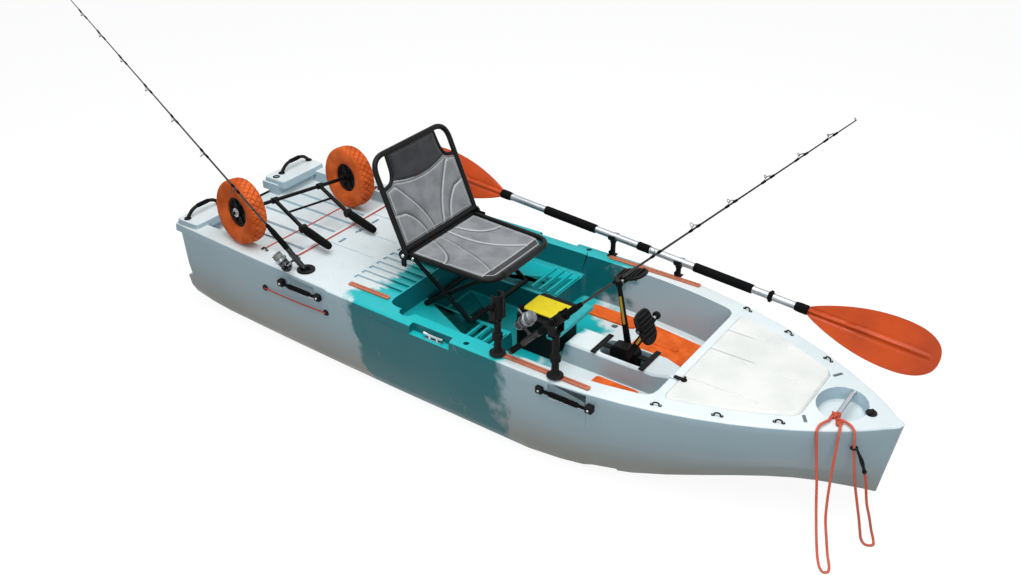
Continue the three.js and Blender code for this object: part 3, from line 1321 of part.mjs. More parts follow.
// The clip hooks round the rope's first strand and holds the rope's end in its lower socket.
function buildClip() {
  const hook = v3(...right_route[clip_hook_count]);
  const end = v3(...right_route[right_route.length - 1]);
  const before = v3(...right_route[clip_hook_count - 1]);
  const tangent = v3(...right_route[clip_hook_count + 1]).sub(before).normalize();
  const turn = new THREE.Quaternion().setFromUnitVectors(v3(0, 0, 1), tangent);
  const ring = ringPlate(clip.hole, clip.ring, clip.plate).applyQuaternion(turn);
  ring.translate(hook.x, hook.y, hook.z);
  const side = v3(end.x - hook.x, end.y - hook.y, 0).setLength(clip.ring - clip.plate / 2);
  const top = hook.clone().add(side);
  const out = end.clone().sub(v3(...right_route[right_route.length - 2])).normalize();
  const foot = end.clone().addScaledVector(out, FIT);
  const knee = foot.clone().addScaledVector(out, clip.plate * 2);
  const body = tube(bentPath([top, knee, foot], clip.ring), clip.body, 7, 6);
  const cap = pole(foot, knee, clip.body * clip_cap_share, 10);
  return piece("snap_clip", join(ring, body, cap), materials.black);
}

const group = new THREE.Group();
group.name = "fishing_kayak";
group.add(piece("hull", buildHull(), materials.shell));
group.add(buildHatchLid(), buildLatch(), ...buildBowFittings());
group.add(buildSternHandle(1), buildSternHandle(-1));
group.add(buildSideHandle("side_handle_aft_port", handle.aft_x, 1));
group.add(buildSideHandle("side_handle_aft_starboard", handle.aft_x, -1));
group.add(buildSideHandle("side_handle_fore_port", handle.fore_x, 1));
group.add(buildSideHandle("side_handle_fore_starboard", handle.fore_x, -1));
group.add(buildTrack("gear_track_fore_port", rack.fore_aft, rack.fore_fore, rack.fore_y));
group.add(buildTrack("gear_track_fore_starboard", rack.fore_aft, rack.fore_fore, -rack.fore_y));
group.add(buildTrack("gear_track_aft_port", rack.rear_aft, rack.rear_fore, rack.rear_y));
group.add(buildTrack("gear_track_aft_starboard", rack.rear_aft, rack.rear_fore, -rack.rear_y));
group.add(buildHolderBase("rod_holder_base_aft", holder.aft_x, holder.aft_z));
group.add(buildHolderBase("rod_holder_base_fore", holder.fore_x, holder.fore_z));
group.add(buildCradle("rod_holder_cradle_aft", holder.aft_x, holder.aft_z, cradle_tilt_aft));
group.add(buildCradle("rod_holder_cradle_fore", holder.fore_x, holder.fore_z, cradle_tilt_fore));
group.add(buildFlushHolder("flush_holder_port", 1), buildFlushHolder("flush_holder_starboard", -1));
group.add(...buildRods());
group.add(buildPaddle(), buildPaddleClip("paddle_clip_aft", paddle.clip_aft));
group.add(buildPaddleClip("paddle_clip_fore", paddle.clip_fore));
group.add(buildSpine(), buildArm(1, port_arm_angle), buildArm(-1, starboard_arm_angle));
group.add(buildPedal(1, port_arm_angle, port_pedal_tilt));
group.add(buildPedal(-1, starboard_arm_angle, starboard_pedal_tilt));
group.add(buildFin(1), buildFin(-1));
group.add(buildSeatFrame(), buildSeatMesh(), buildSeatBack(), ...buildSeatLegs());
group.add(buildCart());
group.add(...buildConsole(), ...buildPads(), buildRail());
group.add(buildRope("bow_rope_left", left_route), buildRope("bow_rope_right", right_route), buildClip());

export default group;
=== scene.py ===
"""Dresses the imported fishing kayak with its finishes, soft goods, ropes and small fittings."""

import logging
from collections.abc import Callable, Sequence
from dataclasses import dataclass
from enum import Enum
from math import asin, atan2, cos, exp, hypot, pi, radians, sin, tau

import bmesh
import bpy
from mathutils import Matrix, Vector


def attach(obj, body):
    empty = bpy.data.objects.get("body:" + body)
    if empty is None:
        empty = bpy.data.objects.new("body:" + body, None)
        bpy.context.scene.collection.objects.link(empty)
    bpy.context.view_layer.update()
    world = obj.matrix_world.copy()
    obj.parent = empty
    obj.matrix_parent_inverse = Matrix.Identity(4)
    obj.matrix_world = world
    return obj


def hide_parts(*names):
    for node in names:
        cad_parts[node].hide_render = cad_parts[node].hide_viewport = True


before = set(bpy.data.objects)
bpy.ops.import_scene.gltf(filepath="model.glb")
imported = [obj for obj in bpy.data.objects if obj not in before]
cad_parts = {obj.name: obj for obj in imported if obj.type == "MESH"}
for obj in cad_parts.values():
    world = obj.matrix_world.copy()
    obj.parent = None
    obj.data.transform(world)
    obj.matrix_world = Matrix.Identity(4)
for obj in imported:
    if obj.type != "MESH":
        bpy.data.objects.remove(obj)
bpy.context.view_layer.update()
log = logging.getLogger("kayak")

Point = tuple[float, float, float]
Pair = tuple[float, float]
Spot = Point | Vector
Socket = bpy.types.NodeSocket
Piece = bpy.types.Object
Route = tuple[Point, ...]
Profile = Sequence[Pair]
STARBOARD, PORT = -1, 1
SIDES = (("port", PORT), ("starboard", STARBOARD))
IMAGE_WIDTH = 1021


class Body(str, Enum):
    """The moving bodies of the frame."""

    HULL = "hull_body"
    HATCH = "hatch"
    SEAT = "seat"
    BACKREST = "backrest"
    AFT_LEG = "aft_leg"
    FORE_LEG = "fore_leg"
    PORT_CRANK = "port_crank"
    STARBOARD_CRANK = "starboard_crank"
    PORT_PEDAL = "port_pedal"
    STARBOARD_PEDAL = "starboard_pedal"
    AFT_HOLDER = "aft_holder"
    AFT_CRADLE = "aft_cradle"
    FORE_HOLDER = "fore_holder"
    FORE_CRADLE = "fore_cradle"
    FORE_ROD = "fore_fishing_rod"
    FORE_SPOOL = "fore_spool"
    FORE_REEL_CRANK = "fore_crank"
    REAR_ROD = "rear_fishing_rod"
    REAR_SPOOL = "rear_spool"
    REAR_REEL_CRANK = "rear_crank"
    PADDLE = "paddle"
    CART = "cart"
    PORT_WHEEL = "port_wheel"
    STARBOARD_WHEEL = "starboard_wheel"
    BOX_LID = "box_lid"


class Slot(str, Enum):
    """Material slots of the record."""

    HULL = "hull_shell"
    LID = "lid"
    PLASTIC = "black_plastic"
    CHROME = "chrome_fittings"
    TUBE = "black_tube"
    RAIL = "rail_metal"
    DRIVE = "drive_black"
    MESH = "seat_mesh"
    TYRE = "tyre_orange"
    FOAM = "eva_orange"
    BLADE = "blade_orange"
    YELLOW = "lid_yellow"
    ROD = "rod_black"
    CORD = "cord_red"


def shade(code: str) -> tuple[float, ...]:
    """Linear colour of a six-digit hexadecimal code.

    Args:
        code: Red, green and blue as two digits each.

    Returns:
        The linear colour with full opacity.
    """
    parts = [int(code[i:i + 2], 16) / 255 for i in (0, 2, 4)]
    linear = [c / 12.92 if c <= 0.04045 else ((c + 0.055) / 1.055) ** 2.4 for c in parts]
    return (*linear, 1.0)


class Graph:
    """Places nodes in one node tree and joins them."""

    def __init__(self, tree: bpy.types.NodeTree) -> None:
        """Keeps the tree that the nodes go into."""
        self.tree = tree

    def put(self, kind: str, inputs: dict | None = None, **settings: object) -> bpy.types.Node:
        """Adds one node.

        Args:
            kind: The node's type name.
            inputs: Sockets to join or values to set, by input name or number.
            settings: Properties of the node.

        Returns:
            The new node.
        """
        node = self.tree.nodes.new(kind)
        for key, value in settings.items():
            setattr(node, key, value)
        for key, value in (inputs or {}).items():
            if isinstance(value, Socket):
                self.tree.links.new(value, node.inputs[key])
            else:
                node.inputs[key].default_value = value
        return node

    def sum(self, kind: str, *values: object) -> Socket:
        """Result of a Math node of one kind on its values."""
        node = self.put("ShaderNodeMath", dict(enumerate(values)), operation=kind)
        return node.outputs[0]

    def times(self, first: object, second: object) -> Socket:
        """Product of two values."""
        return self.sum("MULTIPLY", first, second)

    def rest(self, value: object) -> Socket:
        """What a value leaves of 1."""
        return self.sum("SUBTRACT", 1.0, value)

    def join(self, source: object, node: bpy.types.Node, key: str) -> None:
        """Joins a socket to an input of a node."""
        self.tree.links.new(source, node.inputs[key])

    def mix(self, factor: object, first: object, second: object) -> Socket:
        """Colour between two colours by a factor."""
        node = self.put("ShaderNodeMix", {0: factor, 6: first, 7: second}, data_type="RGBA")
        return node.outputs[2]

    def step(self, value: object, low: float, high: float) -> Socket:
        """Smooth rise from 0 to 1 as a value goes from low to high."""
        inputs = {0: value, 1: low, 2: high}
        return self.put("ShaderNodeMapRange", inputs, interpolation_type="SMOOTHSTEP").outputs[0]

    def noise(self, vector: object, scale: object, detail: float = 3.0) -> Socket:
        """Noise between 0 and 1 at a scale."""
        node = self.put("ShaderNodeTexNoise", {"Vector": vector, "Scale": scale, "Detail": detail})
        return node.outputs[0]

    def parts(self, vector: object) -> list[Socket]:
        """The three parts of a vector."""
        return list(self.put("ShaderNodeSeparateXYZ", {0: vector}).outputs)


class Effect(Enum):
    """Node groups that several finishes share."""

    MOULDED = "moulded_skin"
    SCUFFS = "handling_scuffs"
    WEAVE = "open_weave"
    STRANDS = "laid_strands"
    STREAKS = "drawn_streaks"


class SharedEffects:
    """Builds each shared node group once and places it in a material."""

    @staticmethod
    def start(
        effect: Effect, inputs: dict[str, float], outputs: tuple[str, ...],
    ) -> tuple[Graph, bpy.types.Node, bpy.types.Node]:
        """Opens an empty group with its sockets.

        Args:
            effect: Which group this is.
            inputs: Plain inputs and their usual values, after the place on the surface.
            outputs: The values that the group gives.

        Returns:
            The group's graph, its entry node and its exit node.
        """
        tree = bpy.data.node_groups.new(effect.value, "ShaderNodeTree")
        tree.interface.new_socket("Vector", in_out="INPUT", socket_type="NodeSocketVector")
        for label, value in inputs.items():
            socket = tree.interface.new_socket(label, in_out="INPUT", socket_type="NodeSocketFloat")
            socket.default_value = value
        for label in outputs:
            tree.interface.new_socket(label, in_out="OUTPUT", socket_type="NodeSocketFloat")
        graph = Graph(tree)
        return graph, graph.put("NodeGroupInput"), graph.put("NodeGroupOutput")

    @classmethod
    def moulded(cls) -> bpy.types.NodeTree:
        """Fine grain and slow mottling of moulded plastic and foam."""
        graph, entry, leave = cls.start(
            Effect.MOULDED, {"Grain": 700.0, "Mottle": 6.0}, ("Height", "Tone"),
        )
        fine = graph.noise(entry.outputs["Vector"], entry.outputs["Grain"])
        slow = graph.noise(entry.outputs["Vector"], entry.outputs["Mottle"], 5.0)
        graph.join(fine, leave, "Height")
        graph.join(graph.step(slow, 0.3, 0.7), leave, "Tone")
        return graph.tree

    @classmethod
    def scuffs(cls) -> bpy.types.NodeTree:
        """Thin crossing scratches gathered in patches."""
        graph, entry, leave = cls.start(Effect.SCUFFS, {"Scale": 30.0, "Cover": 0.5}, ("Mask",))
        bent = graph.put("ShaderNodeTexNoise", {"Vector": entry.outputs["Vector"], "Scale": 9.0})
        between = {0: 0.12, 4: entry.outputs["Vector"], 5: bent.outputs[1]}
        pushed = graph.put("ShaderNodeMix", between, data_type="VECTOR")
        cells = graph.put(
            "ShaderNodeTexVoronoi", {"Vector": pushed.outputs[1], "Scale": entry.outputs["Scale"]},
            feature="DISTANCE_TO_EDGE",
        )
        line = graph.rest(graph.step(cells.outputs[0], 0.0, 0.035))
        patch = graph.noise(entry.outputs["Vector"], 7.0, 2.0)
        where = graph.step(graph.sum("SUBTRACT", patch, entry.outputs["Cover"]), 0.0, 0.12)
        graph.join(graph.times(line, where), leave, "Mask")
        return graph.tree

    @classmethod
    def weave(cls) -> bpy.types.NodeTree:
        """Over-and-under threads on a flat cloth map in metres."""
        graph, entry, leave = cls.start(Effect.WEAVE, {"Threads": 350.0}, ("Height", "Hole"))
        across, along, _ = graph.parts(entry.outputs["Vector"])
        turn = graph.times(entry.outputs["Threads"], tau)
        waves = [graph.sum("SINE", graph.times(part, turn)) for part in (across, along)]
        crossing = graph.times(*waves)
        height = graph.sum("MULTIPLY_ADD", crossing, 0.5, 0.5)
        sizes = [graph.sum("ABSOLUTE", wave) for wave in waves]
        open_part = graph.rest(graph.step(graph.sum("MAXIMUM", *sizes), 0.1, 0.6))
        graph.join(height, leave, "Height")
        graph.join(open_part, leave, "Hole")
        return graph.tree

    @classmethod
    def strands(cls) -> bpy.types.NodeTree:
        """Plaited strands round and along a rope's own map."""
        graph, entry, leave = cls.start(Effect.STRANDS, {"Around": 6.0, "Along": 260.0}, ("Height",))
        along, around, _ = graph.parts(entry.outputs["Vector"])
        a = graph.times(around, graph.times(entry.outputs["Around"], tau))
        b = graph.times(along, entry.outputs["Along"])
        left = graph.sum("SINE", graph.sum("ADD", a, b))
        right = graph.sum("SINE", graph.sum("SUBTRACT", a, b))
        height = graph.sum("MULTIPLY_ADD", graph.sum("MAXIMUM", left, right), 0.5, 0.5)
        graph.join(height, leave, "Height")
        return graph.tree

    @classmethod
    def streaks(cls) -> bpy.types.NodeTree:
        """Fine lines left by drawing or brushing metal."""
        graph, entry, leave = cls.start(Effect.STREAKS, {"Scale": 90.0, "Run": 2.0}, ("Streak",))
        x, y, z = graph.parts(entry.outputs["Vector"])
        joined = graph.put("ShaderNodeCombineXYZ", {
            0: graph.times(x, entry.outputs["Run"]),
            1: graph.times(y, entry.outputs["Scale"]),
            2: graph.times(z, entry.outputs["Scale"]),
        })
        graph.join(graph.noise(joined.outputs[0], 8.0, 4.0), leave, "Streak")
        return graph.tree

    @classmethod
    def place(cls, graph: Graph, effect: Effect, vector: object, **values: float) -> bpy.types.Node:
        """Places a shared group in a material.

        Args:
            graph: The material's graph.
            effect: Which group.
            vector: The place on the surface.
            values: The group's plain inputs.

        Returns:
            The group node.
        """
        tree = bpy.data.node_groups.get(effect.value) or getattr(cls, effect.name.lower())()
        node = graph.put("ShaderNodeGroup", node_tree=tree)
        graph.join(vector, node, "Vector")
        for label, value in values.items():
            node.inputs[label].default_value = value
        return node


@dataclass(frozen=True)
class Finish:
    """A moulded, coated or foam surface."""

    name: str
    base: str
    tint: str
    roughness: float = 0.5
    metallic: float = 0.0
    grain: float = 700.0
    depth: float = 0.0003
    mottle: float = 7.0
    # Colour of scuffs, and for ropes and line the painted shade between strands.
    wear_and_crevice_shade: str = ""
    cover: float = 0.5
    scratch: float = 30.0
    wear: float = 0.6
    specular: float = 0.4
    sheen: float = 0.0
    coat: float = 0.0
    slot: Slot = Slot.PLASTIC

    def material(self) -> bpy.types.Material:
        """The finish as a material, made once.

        Returns:
            The material of this name.
        """
        known = bpy.data.materials.get(self.name)
        if known:
            return known
        made = bpy.data.materials.new(self.name)
        made.use_nodes = True
        graph = Graph(made.node_tree)
        shader = made.node_tree.nodes["Principled BSDF"]
        where = graph.put("ShaderNodeTexCoord")
        colour, rough, height = self.surface(graph, where)
        graph.join(colour, shader, "Base Color")
        graph.join(rough, shader, "Roughness")
        bump = graph.put("ShaderNodeBump", {"Height": height, "Distance": self.depth, "Strength": 1.0})
        graph.join(bump.outputs[0], shader, "Normal")
        shader.inputs["Metallic"].default_value = self.metallic
        shader.inputs["Specular IOR Level"].default_value = self.specular
        shader.inputs["Sheen Weight"].default_value = self.sheen
        shader.inputs["Coat Weight"].default_value = self.coat
        return made

    def surface(self, graph: Graph, where: bpy.types.Node) -> tuple[object, object, object]:
        """Colour, roughness and height over the surface.

        Args:
            graph: The material's graph.
            where: Its texture coordinates.

        Returns:
            The three sockets.
        """
        place = where.outputs["Object"]
        skin = SharedEffects.place(graph, Effect.MOULDED, place, Grain=self.grain, Mottle=self.mottle)
        colour = self.tone(graph, place, skin.outputs["Tone"])
        rough = graph.sum("MULTIPLY_ADD", skin.outputs["Tone"], 0.12, self.roughness - 0.06)
        if self.wear_and_crevice_shade:
            scuffs = SharedEffects.place(graph, Effect.SCUFFS, place, Scale=self.scratch, Cover=self.cover)
            colour = graph.mix(graph.times(scuffs.outputs["Mask"], self.wear), colour, shade(self.wear_and_crevice_shade))
            rough = graph.sum("MULTIPLY_ADD", scuffs.outputs["Mask"], 0.15, rough)
        return colour, rough, skin.outputs["Height"]

    def tone(self, graph: Graph, place: object, slow: object) -> object:
        """Base colour before wear."""
        return graph.mix(slow, shade(self.base), shade(self.tint))


@dataclass(frozen=True)
class HullFinish(Finish):
    """Marbled shell: pale ends and a cloudy teal band amidships, with painted shade: flanks greyer than the
    tops and browner towards the keel as a painted ground reflection.
    """

    # Painted shade: flank is the sides' grey, darker than the tops where less light falls; low is a painted
    # brownish ground reflection near the keel; deep teal is the teal's shaded copy for the sides.
    flank: str = "a3bac4"
    low: str = "96978f"
    teal: str = "12b2b6"
    deep_teal: str = "04666d"
    band_aft: float = -0.43
    band_fore: float = 0.27
    cloud: float = 0.34

    def tone(self, graph: Graph, place: object, slow: object) -> object:
        """Base colour before wear.

        Args:
            graph: The material's graph.
            place: Object coordinates.
            slow: The slow mottling.

        Returns:
            The colour socket.
        """
        x, _, z = graph.parts(place)
        cloud = graph.noise(place, 4.2, 6.0)
        fine = graph.noise(place, 17.0, 4.0)
        drift = graph.sum("MULTIPLY_ADD", graph.sum("SUBTRACT", cloud, 0.5), self.cloud, x)
        drift = graph.sum("MULTIPLY_ADD", graph.sum("SUBTRACT", fine, 0.5), self.cloud / 3, drift)
        enter = graph.step(drift, self.band_aft - 0.02, self.band_aft + 0.03)
        leave = graph.rest(graph.step(drift, self.band_fore - 0.04, self.band_fore + 0.03))
        band = graph.times(enter, leave)
        # Painted light: faces that point up take the pale and lit teal colours, faces that point sideways
        # take the shaded ones.
        facing = graph.parts(graph.put("ShaderNodeNewGeometry").outputs["Normal"])[2]
        painted_top_light = graph.step(facing, 0.35, 0.85)
        # Painted ground reflection: darker and browner towards the keel.
        flank = graph.mix(graph.step(z, 0.02, 0.3), shade(self.low), shade(self.flank))
        pale = graph.mix(slow, shade(self.base), shade(self.tint))
        shell = graph.mix(painted_top_light, flank, pale)
        teal = graph.mix(painted_top_light, shade(self.deep_teal), shade(self.teal))
        return graph.mix(band, shell, teal)


@dataclass(frozen=True)
class LidFinish(Finish):
    """Pale lid with shallow drain grooves that run out towards the bow, with painted shade darkening the
    grooves.
    """

    grooves: tuple[tuple[float, float], ...] = ((0.183, 0.965), (0.04, 1.03), (-0.17, 1.02))
    half: float = 0.0022
    relief: float = -5.0

    def surface(self, graph: Graph, where: bpy.types.Node) -> tuple[object, object, object]:
        """Colour, roughness and height over the lid."""
        colour, rough, height = super().surface(graph, where)
        x, y, _ = graph.parts(where.outputs["Object"])
        cut = 0.0
        for across, end in self.grooves:
            away = graph.sum("ABSOLUTE", graph.sum("SUBTRACT", y, across))
            line = graph.rest(graph.step(away, self.half * 0.4, self.half))
            kept = graph.rest(graph.step(x, end - 0.05, end))
            cut = graph.sum("MAXIMUM", cut, graph.times(line, kept))
        # Painted shade: the grooves are darkened grey as well as bumped in.
        colour = graph.mix(graph.times(cut, 0.7), colour, shade("8f9aa0"))
        return colour, rough, graph.sum("MULTIPLY_ADD", cut, self.relief, height)


@dataclass(frozen=True)
class TyreFinish(Finish):
    """Foam tyre whose cut tread is painted darker as shade, by the piece's own mask."""

    # Painted shade: the colour of the tread's grooves.
    groove: str = "8a3613"

    def surface(self, graph: Graph, where: bpy.types.Node) -> tuple[object, object, object]:
        """Colour, roughness and height over the tyre."""
        colour, rough, height = super().surface(graph, where)
        cut = graph.put("ShaderNodeAttribute", attribute_name="cut").outputs["Fac"]
        # Painted shade: the tread's grooves are darkened.
        colour = graph.mix(graph.times(cut, 0.75), colour, shade(self.groove))
        return colour, rough, height


@dataclass(frozen=True)
class ClothFinish(Finish):
    """Open mesh cloth whose sewn channels darken by the piece's own mask, with painted shade in its holes
    and, by a second mask, a painted highlight beside the seams and along the hem.
    """

    threads: float = 330.0
    cloth_grain: float = 420.0
    # Colour of the seams, and the painted shade in the weave's holes.
    seam_and_hole_shade: str = "1b1c1e"
    # Painted highlight: colour of the light lines beside the seams and inside the hem.
    piping_highlight_colour: str = "c9cbcd"

    def surface(self, graph: Graph, where: bpy.types.Node) -> tuple[object, object, object]:
        """Colour, roughness and height over the cloth."""
        weave = SharedEffects.place(graph, Effect.WEAVE, where.outputs["UV"], Threads=self.threads)
        place = where.outputs["Object"]
        skin = SharedEffects.place(graph, Effect.MOULDED, place, Grain=self.cloth_grain, Mottle=self.mottle)
        sewn = graph.put("ShaderNodeAttribute", attribute_name="sewn")
        yarn = graph.mix(skin.outputs["Tone"], shade(self.base), shade(self.tint))
        # Painted shade: the weave's holes are filled with the dark seam colour.
        hole_shade = graph.times(weave.outputs["Hole"], 0.75)
        cloth = graph.mix(hole_shade, yarn, shade(self.seam_and_hole_shade))
        cloth = graph.mix(sewn.outputs["Fac"], cloth, shade(self.seam_and_hole_shade))
        # Painted highlight: a light line beside each seam on its outer side, inside the hem and at the edge
        # of the dark band.
        piping_highlight = graph.put("ShaderNodeAttribute", attribute_name="piping_highlight")
        cloth = graph.mix(piping_highlight.outputs["Fac"], cloth, shade(self.piping_highlight_colour))
        rough = graph.sum("MULTIPLY_ADD", weave.outputs["Height"], -0.1, self.roughness)
        return cloth, rough, weave.outputs["Height"]


@dataclass(frozen=True)
class RopeFinish(Finish):
    """Plaited cord on its own map, with painted shade in the hollows between its strands."""

    around: float = 3.0
    along: float = 900.0

    def surface(self, graph: Graph, where: bpy.types.Node) -> tuple[object, object, object]:
        """Colour, roughness and height over the rope."""
        length, place = where.outputs["UV"], where.outputs["Object"]
        plait = SharedEffects.place(graph, Effect.STRANDS, length, Around=self.around, Along=self.along)
        skin = SharedEffects.place(graph, Effect.MOULDED, place, Grain=self.grain, Mottle=self.mottle)
        strand_colour = graph.mix(skin.outputs["Tone"], shade(self.base), shade(self.tint))
        # Painted shade: the low parts between strands take the darker colour.
        colour = graph.mix(plait.outputs["Height"], shade(self.wear_and_crevice_shade), strand_colour)
        rough = graph.sum("MULTIPLY_ADD", plait.outputs["Height"], -0.1, self.roughness)
        return colour, rough, plait.outputs["Height"]


@dataclass(frozen=True)
class MetalFinish(Finish):
    """Drawn or plated metal."""

    run: float = 2.0
    lines: float = 90.0

    def surface(self, graph: Graph, where: bpy.types.Node) -> tuple[object, object, object]:
        """Colour, roughness and height over the metal."""
        place = where.outputs["Object"]
        drawn = SharedEffects.place(graph, Effect.STREAKS, place, Scale=self.lines, Run=self.run)
        skin = SharedEffects.place(graph, Effect.MOULDED, place, Grain=self.grain, Mottle=self.mottle)
        tone = graph.times(drawn.outputs["Streak"], skin.outputs["Tone"])
        colour = graph.mix(tone, shade(self.base), shade(self.tint))
        rough = graph.sum("MULTIPLY_ADD", drawn.outputs["Streak"], 0.2, self.roughness - 0.1)
        return colour, rough, drawn.outputs["Streak"]


class Finishes:
    """Every finish on the kayak and its gear."""

    HULL = HullFinish("marbled_shell", "e2eaeb", "d2dee1", 0.42, grain=260.0, depth=0.0004, mottle=3.0,
        wear_and_crevice_shade="b9c1c2", cover=0.6, scratch=11.0, wear=0.28, specular=0.35, slot=Slot.HULL)
    LID = LidFinish("pale_lid", "e6e7e3", "d9dcd9", 0.5, grain=300.0, depth=0.0004, wear_and_crevice_shade="c4c9c8", cover=0.62,
        scratch=16.0, wear=0.2, specular=0.3, slot=Slot.LID)
    COAMING = Finish("teal_moulding", "27b4b7", "1d9a9f", 0.45, grain=260.0, wear_and_crevice_shade="8fd4d4", cover=0.6,
        wear=0.3, slot=Slot.HULL)
    PLASTIC = Finish("black_moulding", "070708", "0d0e0f", 0.5, wear_and_crevice_shade="2c2d2f", cover=0.58, scratch=60.0,
        wear=0.3, specular=0.13)
    RUBBER = Finish("dark_rubber", "060607", "0b0c0d", 0.8, grain=500.0, depth=0.0005, specular=0.08)
    # Painted shade: the grey that stands for the shadow inside the slots in front of the hatch.
    PAINTED_SLOT_SHADE = Finish("shaded_slot", "6f7c80", "586468", 0.7, grain=300.0, specular=0.1, slot=Slot.HULL)
    TUBE = MetalFinish("coated_tube", "050506", "0c0d0e", 0.4, metallic=0.0, depth=0.00005, specular=0.16,
        slot=Slot.TUBE)
    CHROME = MetalFinish("plated_metal", "c9cdd1", "a4a9ae", 0.2, metallic=1.0, depth=0.00003,
        slot=Slot.CHROME)
    SHAFT = MetalFinish("drawn_aluminium", "b9bec3", "858b91", 0.32, metallic=0.9, depth=0.00005,
        slot=Slot.CHROME)
    RAIL = MetalFinish("anodised_track", "c77a5c", "9d5440", 0.45, metallic=0.2, depth=0.00005,
        slot=Slot.RAIL)
    FOAM = Finish("orange_foam", "f0702f", "d95c24", 0.85, grain=900.0, depth=0.0006, mottle=22.0,
        wear_and_crevice_shade="9c5a40", cover=0.55, scratch=45.0, wear=0.4, specular=0.12, slot=Slot.FOAM)
    TYRE = TyreFinish("orange_tyre", "e06a30", "bf5220", 0.75, grain=380.0, depth=0.0007, mottle=16.0,
        wear_and_crevice_shade="8a4a2c", cover=0.54, scratch=38.0, wear=0.4, specular=0.15, slot=Slot.TYRE)
    BLADE = Finish("orange_blade", "c94a0c", "ae3c06", 0.36, grain=240.0, depth=0.0003, specular=0.3,
        slot=Slot.BLADE)
    YELLOW = Finish("yellow_lid", "ecd80a", "d8c406", 0.5, grain=420.0, wear_and_crevice_shade="8f8520", cover=0.57,
        scratch=50.0, wear=0.35, slot=Slot.YELLOW)
    MESH = ClothFinish("seat_cloth", "95989b", "7d8083", 0.85, depth=0.0006, mottle=14.0, specular=0.12,
        sheen=0.15, slot=Slot.MESH)
    BAND = ClothFinish("headrest_cloth", "3c3d40", "2f3033", 0.85, depth=0.0006, mottle=18.0, seam_and_hole_shade="08080a",
        piping_highlight_colour="3e3f42", threads=260.0, specular=0.12, sheen=0.15, slot=Slot.MESH)
    ROPE = RopeFinish("red_rope", "ee8470", "e2684f", 0.8, grain=900.0, depth=0.0007, wear_and_crevice_shade="ad4a38",
        specular=0.15, slot=Slot.CORD)
    BUNGEE = RopeFinish("shock_cord", "e0604c", "cc4a38", 0.75, grain=900.0, depth=0.0004, wear_and_crevice_shade="8c3228",
        specular=0.15, along=1500.0, slot=Slot.CORD)
    ROD = MetalFinish("rod_blank", "0a0b0c", "1b1d20", 0.32, metallic=0.1, depth=0.00003, specular=0.45,
        slot=Slot.ROD)
    REEL = MetalFinish("reel_metal", "8d9298", "4a4e53", 0.3, metallic=0.85, depth=0.00004, slot=Slot.CHROME)
    LINE = RopeFinish("wound_line", "9aa39a", "7e867e", 0.5, wear_and_crevice_shade="3c423d", depth=0.0003, around=2.0,
        along=4000.0, slot=Slot.ROD)
    BRASS = MetalFinish("brass_scale", "cfae3a", "a98a22", 0.38, metallic=0.3, depth=0.00004, slot=Slot.DRIVE)


def shift(x: float = 0.0, y: float = 0.0, z: float = 0.0) -> Matrix:
    """A move by three lengths."""
    return Matrix.Translation((x, y, z))


def rotate(degrees: float, axis: str) -> Matrix:
    """A turn about a named axis."""
    return Matrix.Rotation(radians(degrees), 4, axis)


def outward(side: int) -> Matrix:
    """The turn that takes Z out to port or to starboard."""
    return rotate(-90 * side, "X")


def mirror(side: int) -> Matrix:
    """Takes a shape that is made to port to either side."""
    return Matrix.Diagonal((1, side, 1, 1))


def standing(y: float) -> Matrix:
    """Stands a plate up, so that it is drawn in X and Z and is thick about a place on Y."""
    return Matrix(((1, 0, 0, 0), (0, 0, 1, y), (0, 1, 0, 0), (0, 0, 0, 1)))


def circle(count: int, radius: float, height: float = 0.0) -> list[Vector]:
    """Points round a circle about Z."""
    angles = [tau * i / count for i in range(count)]
    return [Vector((radius * cos(angle), radius * sin(angle), height)) for angle in angles]


def both_ends(half: Profile) -> list[Pair]:
    """A whole turned profile from its upper half, which goes from the middle outward."""
    return [*[(radius, -height) for radius, height in reversed(half) if height > 0], *half]


def hump(value: float, width: float) -> float:
    """A smooth hump: 1 at zero and nearly 0 beyond twice its width."""
    return exp(-(value / width) ** 2)


ALONG_X = rotate(90, "Y")


def rounded_path(corners: Sequence[Spot], bend: float, steps: int = 8) -> list[Vector]:
    """A path through corner points with its inner corners rounded.

    Args:
        corners: The points of the path.
        bend: How far from each corner its rounding starts.
        steps: Points in each rounding.

    Returns:
        The points of the rounded path.
    """
    corners = [Vector(corner) for corner in corners]
    path = [corners[0]]
    for before, corner, after in zip(corners, corners[1:], corners[2:]):
        reach = [min(bend, (other - corner).length / 2.01) for other in (before, after)]
        start = corner + (before - corner).normalized() * reach[0]
        end = corner + (after - corner).normalized() * reach[1]
        for i in range(steps + 1):
            t = i / steps
            path.append(start * (1 - t) ** 2 + corner * 2 * t * (1 - t) + end * t * t)
    path.append(corners[-1])
    return path


def flowing_line(route: Sequence[Spot], per_span: int = 10) -> list[Vector]:
    """Centripetal curve through every point of a route.

    Args:
        route: The points that the curve passes.
        per_span: Steps between two of them.

    Returns:
        Points along the curve.
    """
    points = [Vector(p) for p in route]
    ends = [2 * points[0] - points[1], *points, 2 * points[-1] - points[-2]]
    line = []
    for a, b, c, d in zip(ends, ends[1:], ends[2:], ends[3:]):
        t1 = (b - a).length ** 0.5
        t2 = t1 + (c - b).length ** 0.5
        t3 = t2 + (d - c).length ** 0.5
        for i in range(per_span):
            t = t1 + (t2 - t1) * i / per_span
            ab = a + (b - a) * (t / t1)
            bc = b + (c - b) * ((t - t1) / (t2 - t1))
            cd = c + (d - c) * ((t - t2) / (t3 - t2))
            abc = ab + (bc - ab) * (t / t2)
            bcd = bc + (cd - bc) * ((t - t1) / (t3 - t1))
            line.append(abc + (bcd - abc) * ((t - t1) / (t2 - t1)))
    return [*line, points[-1]]


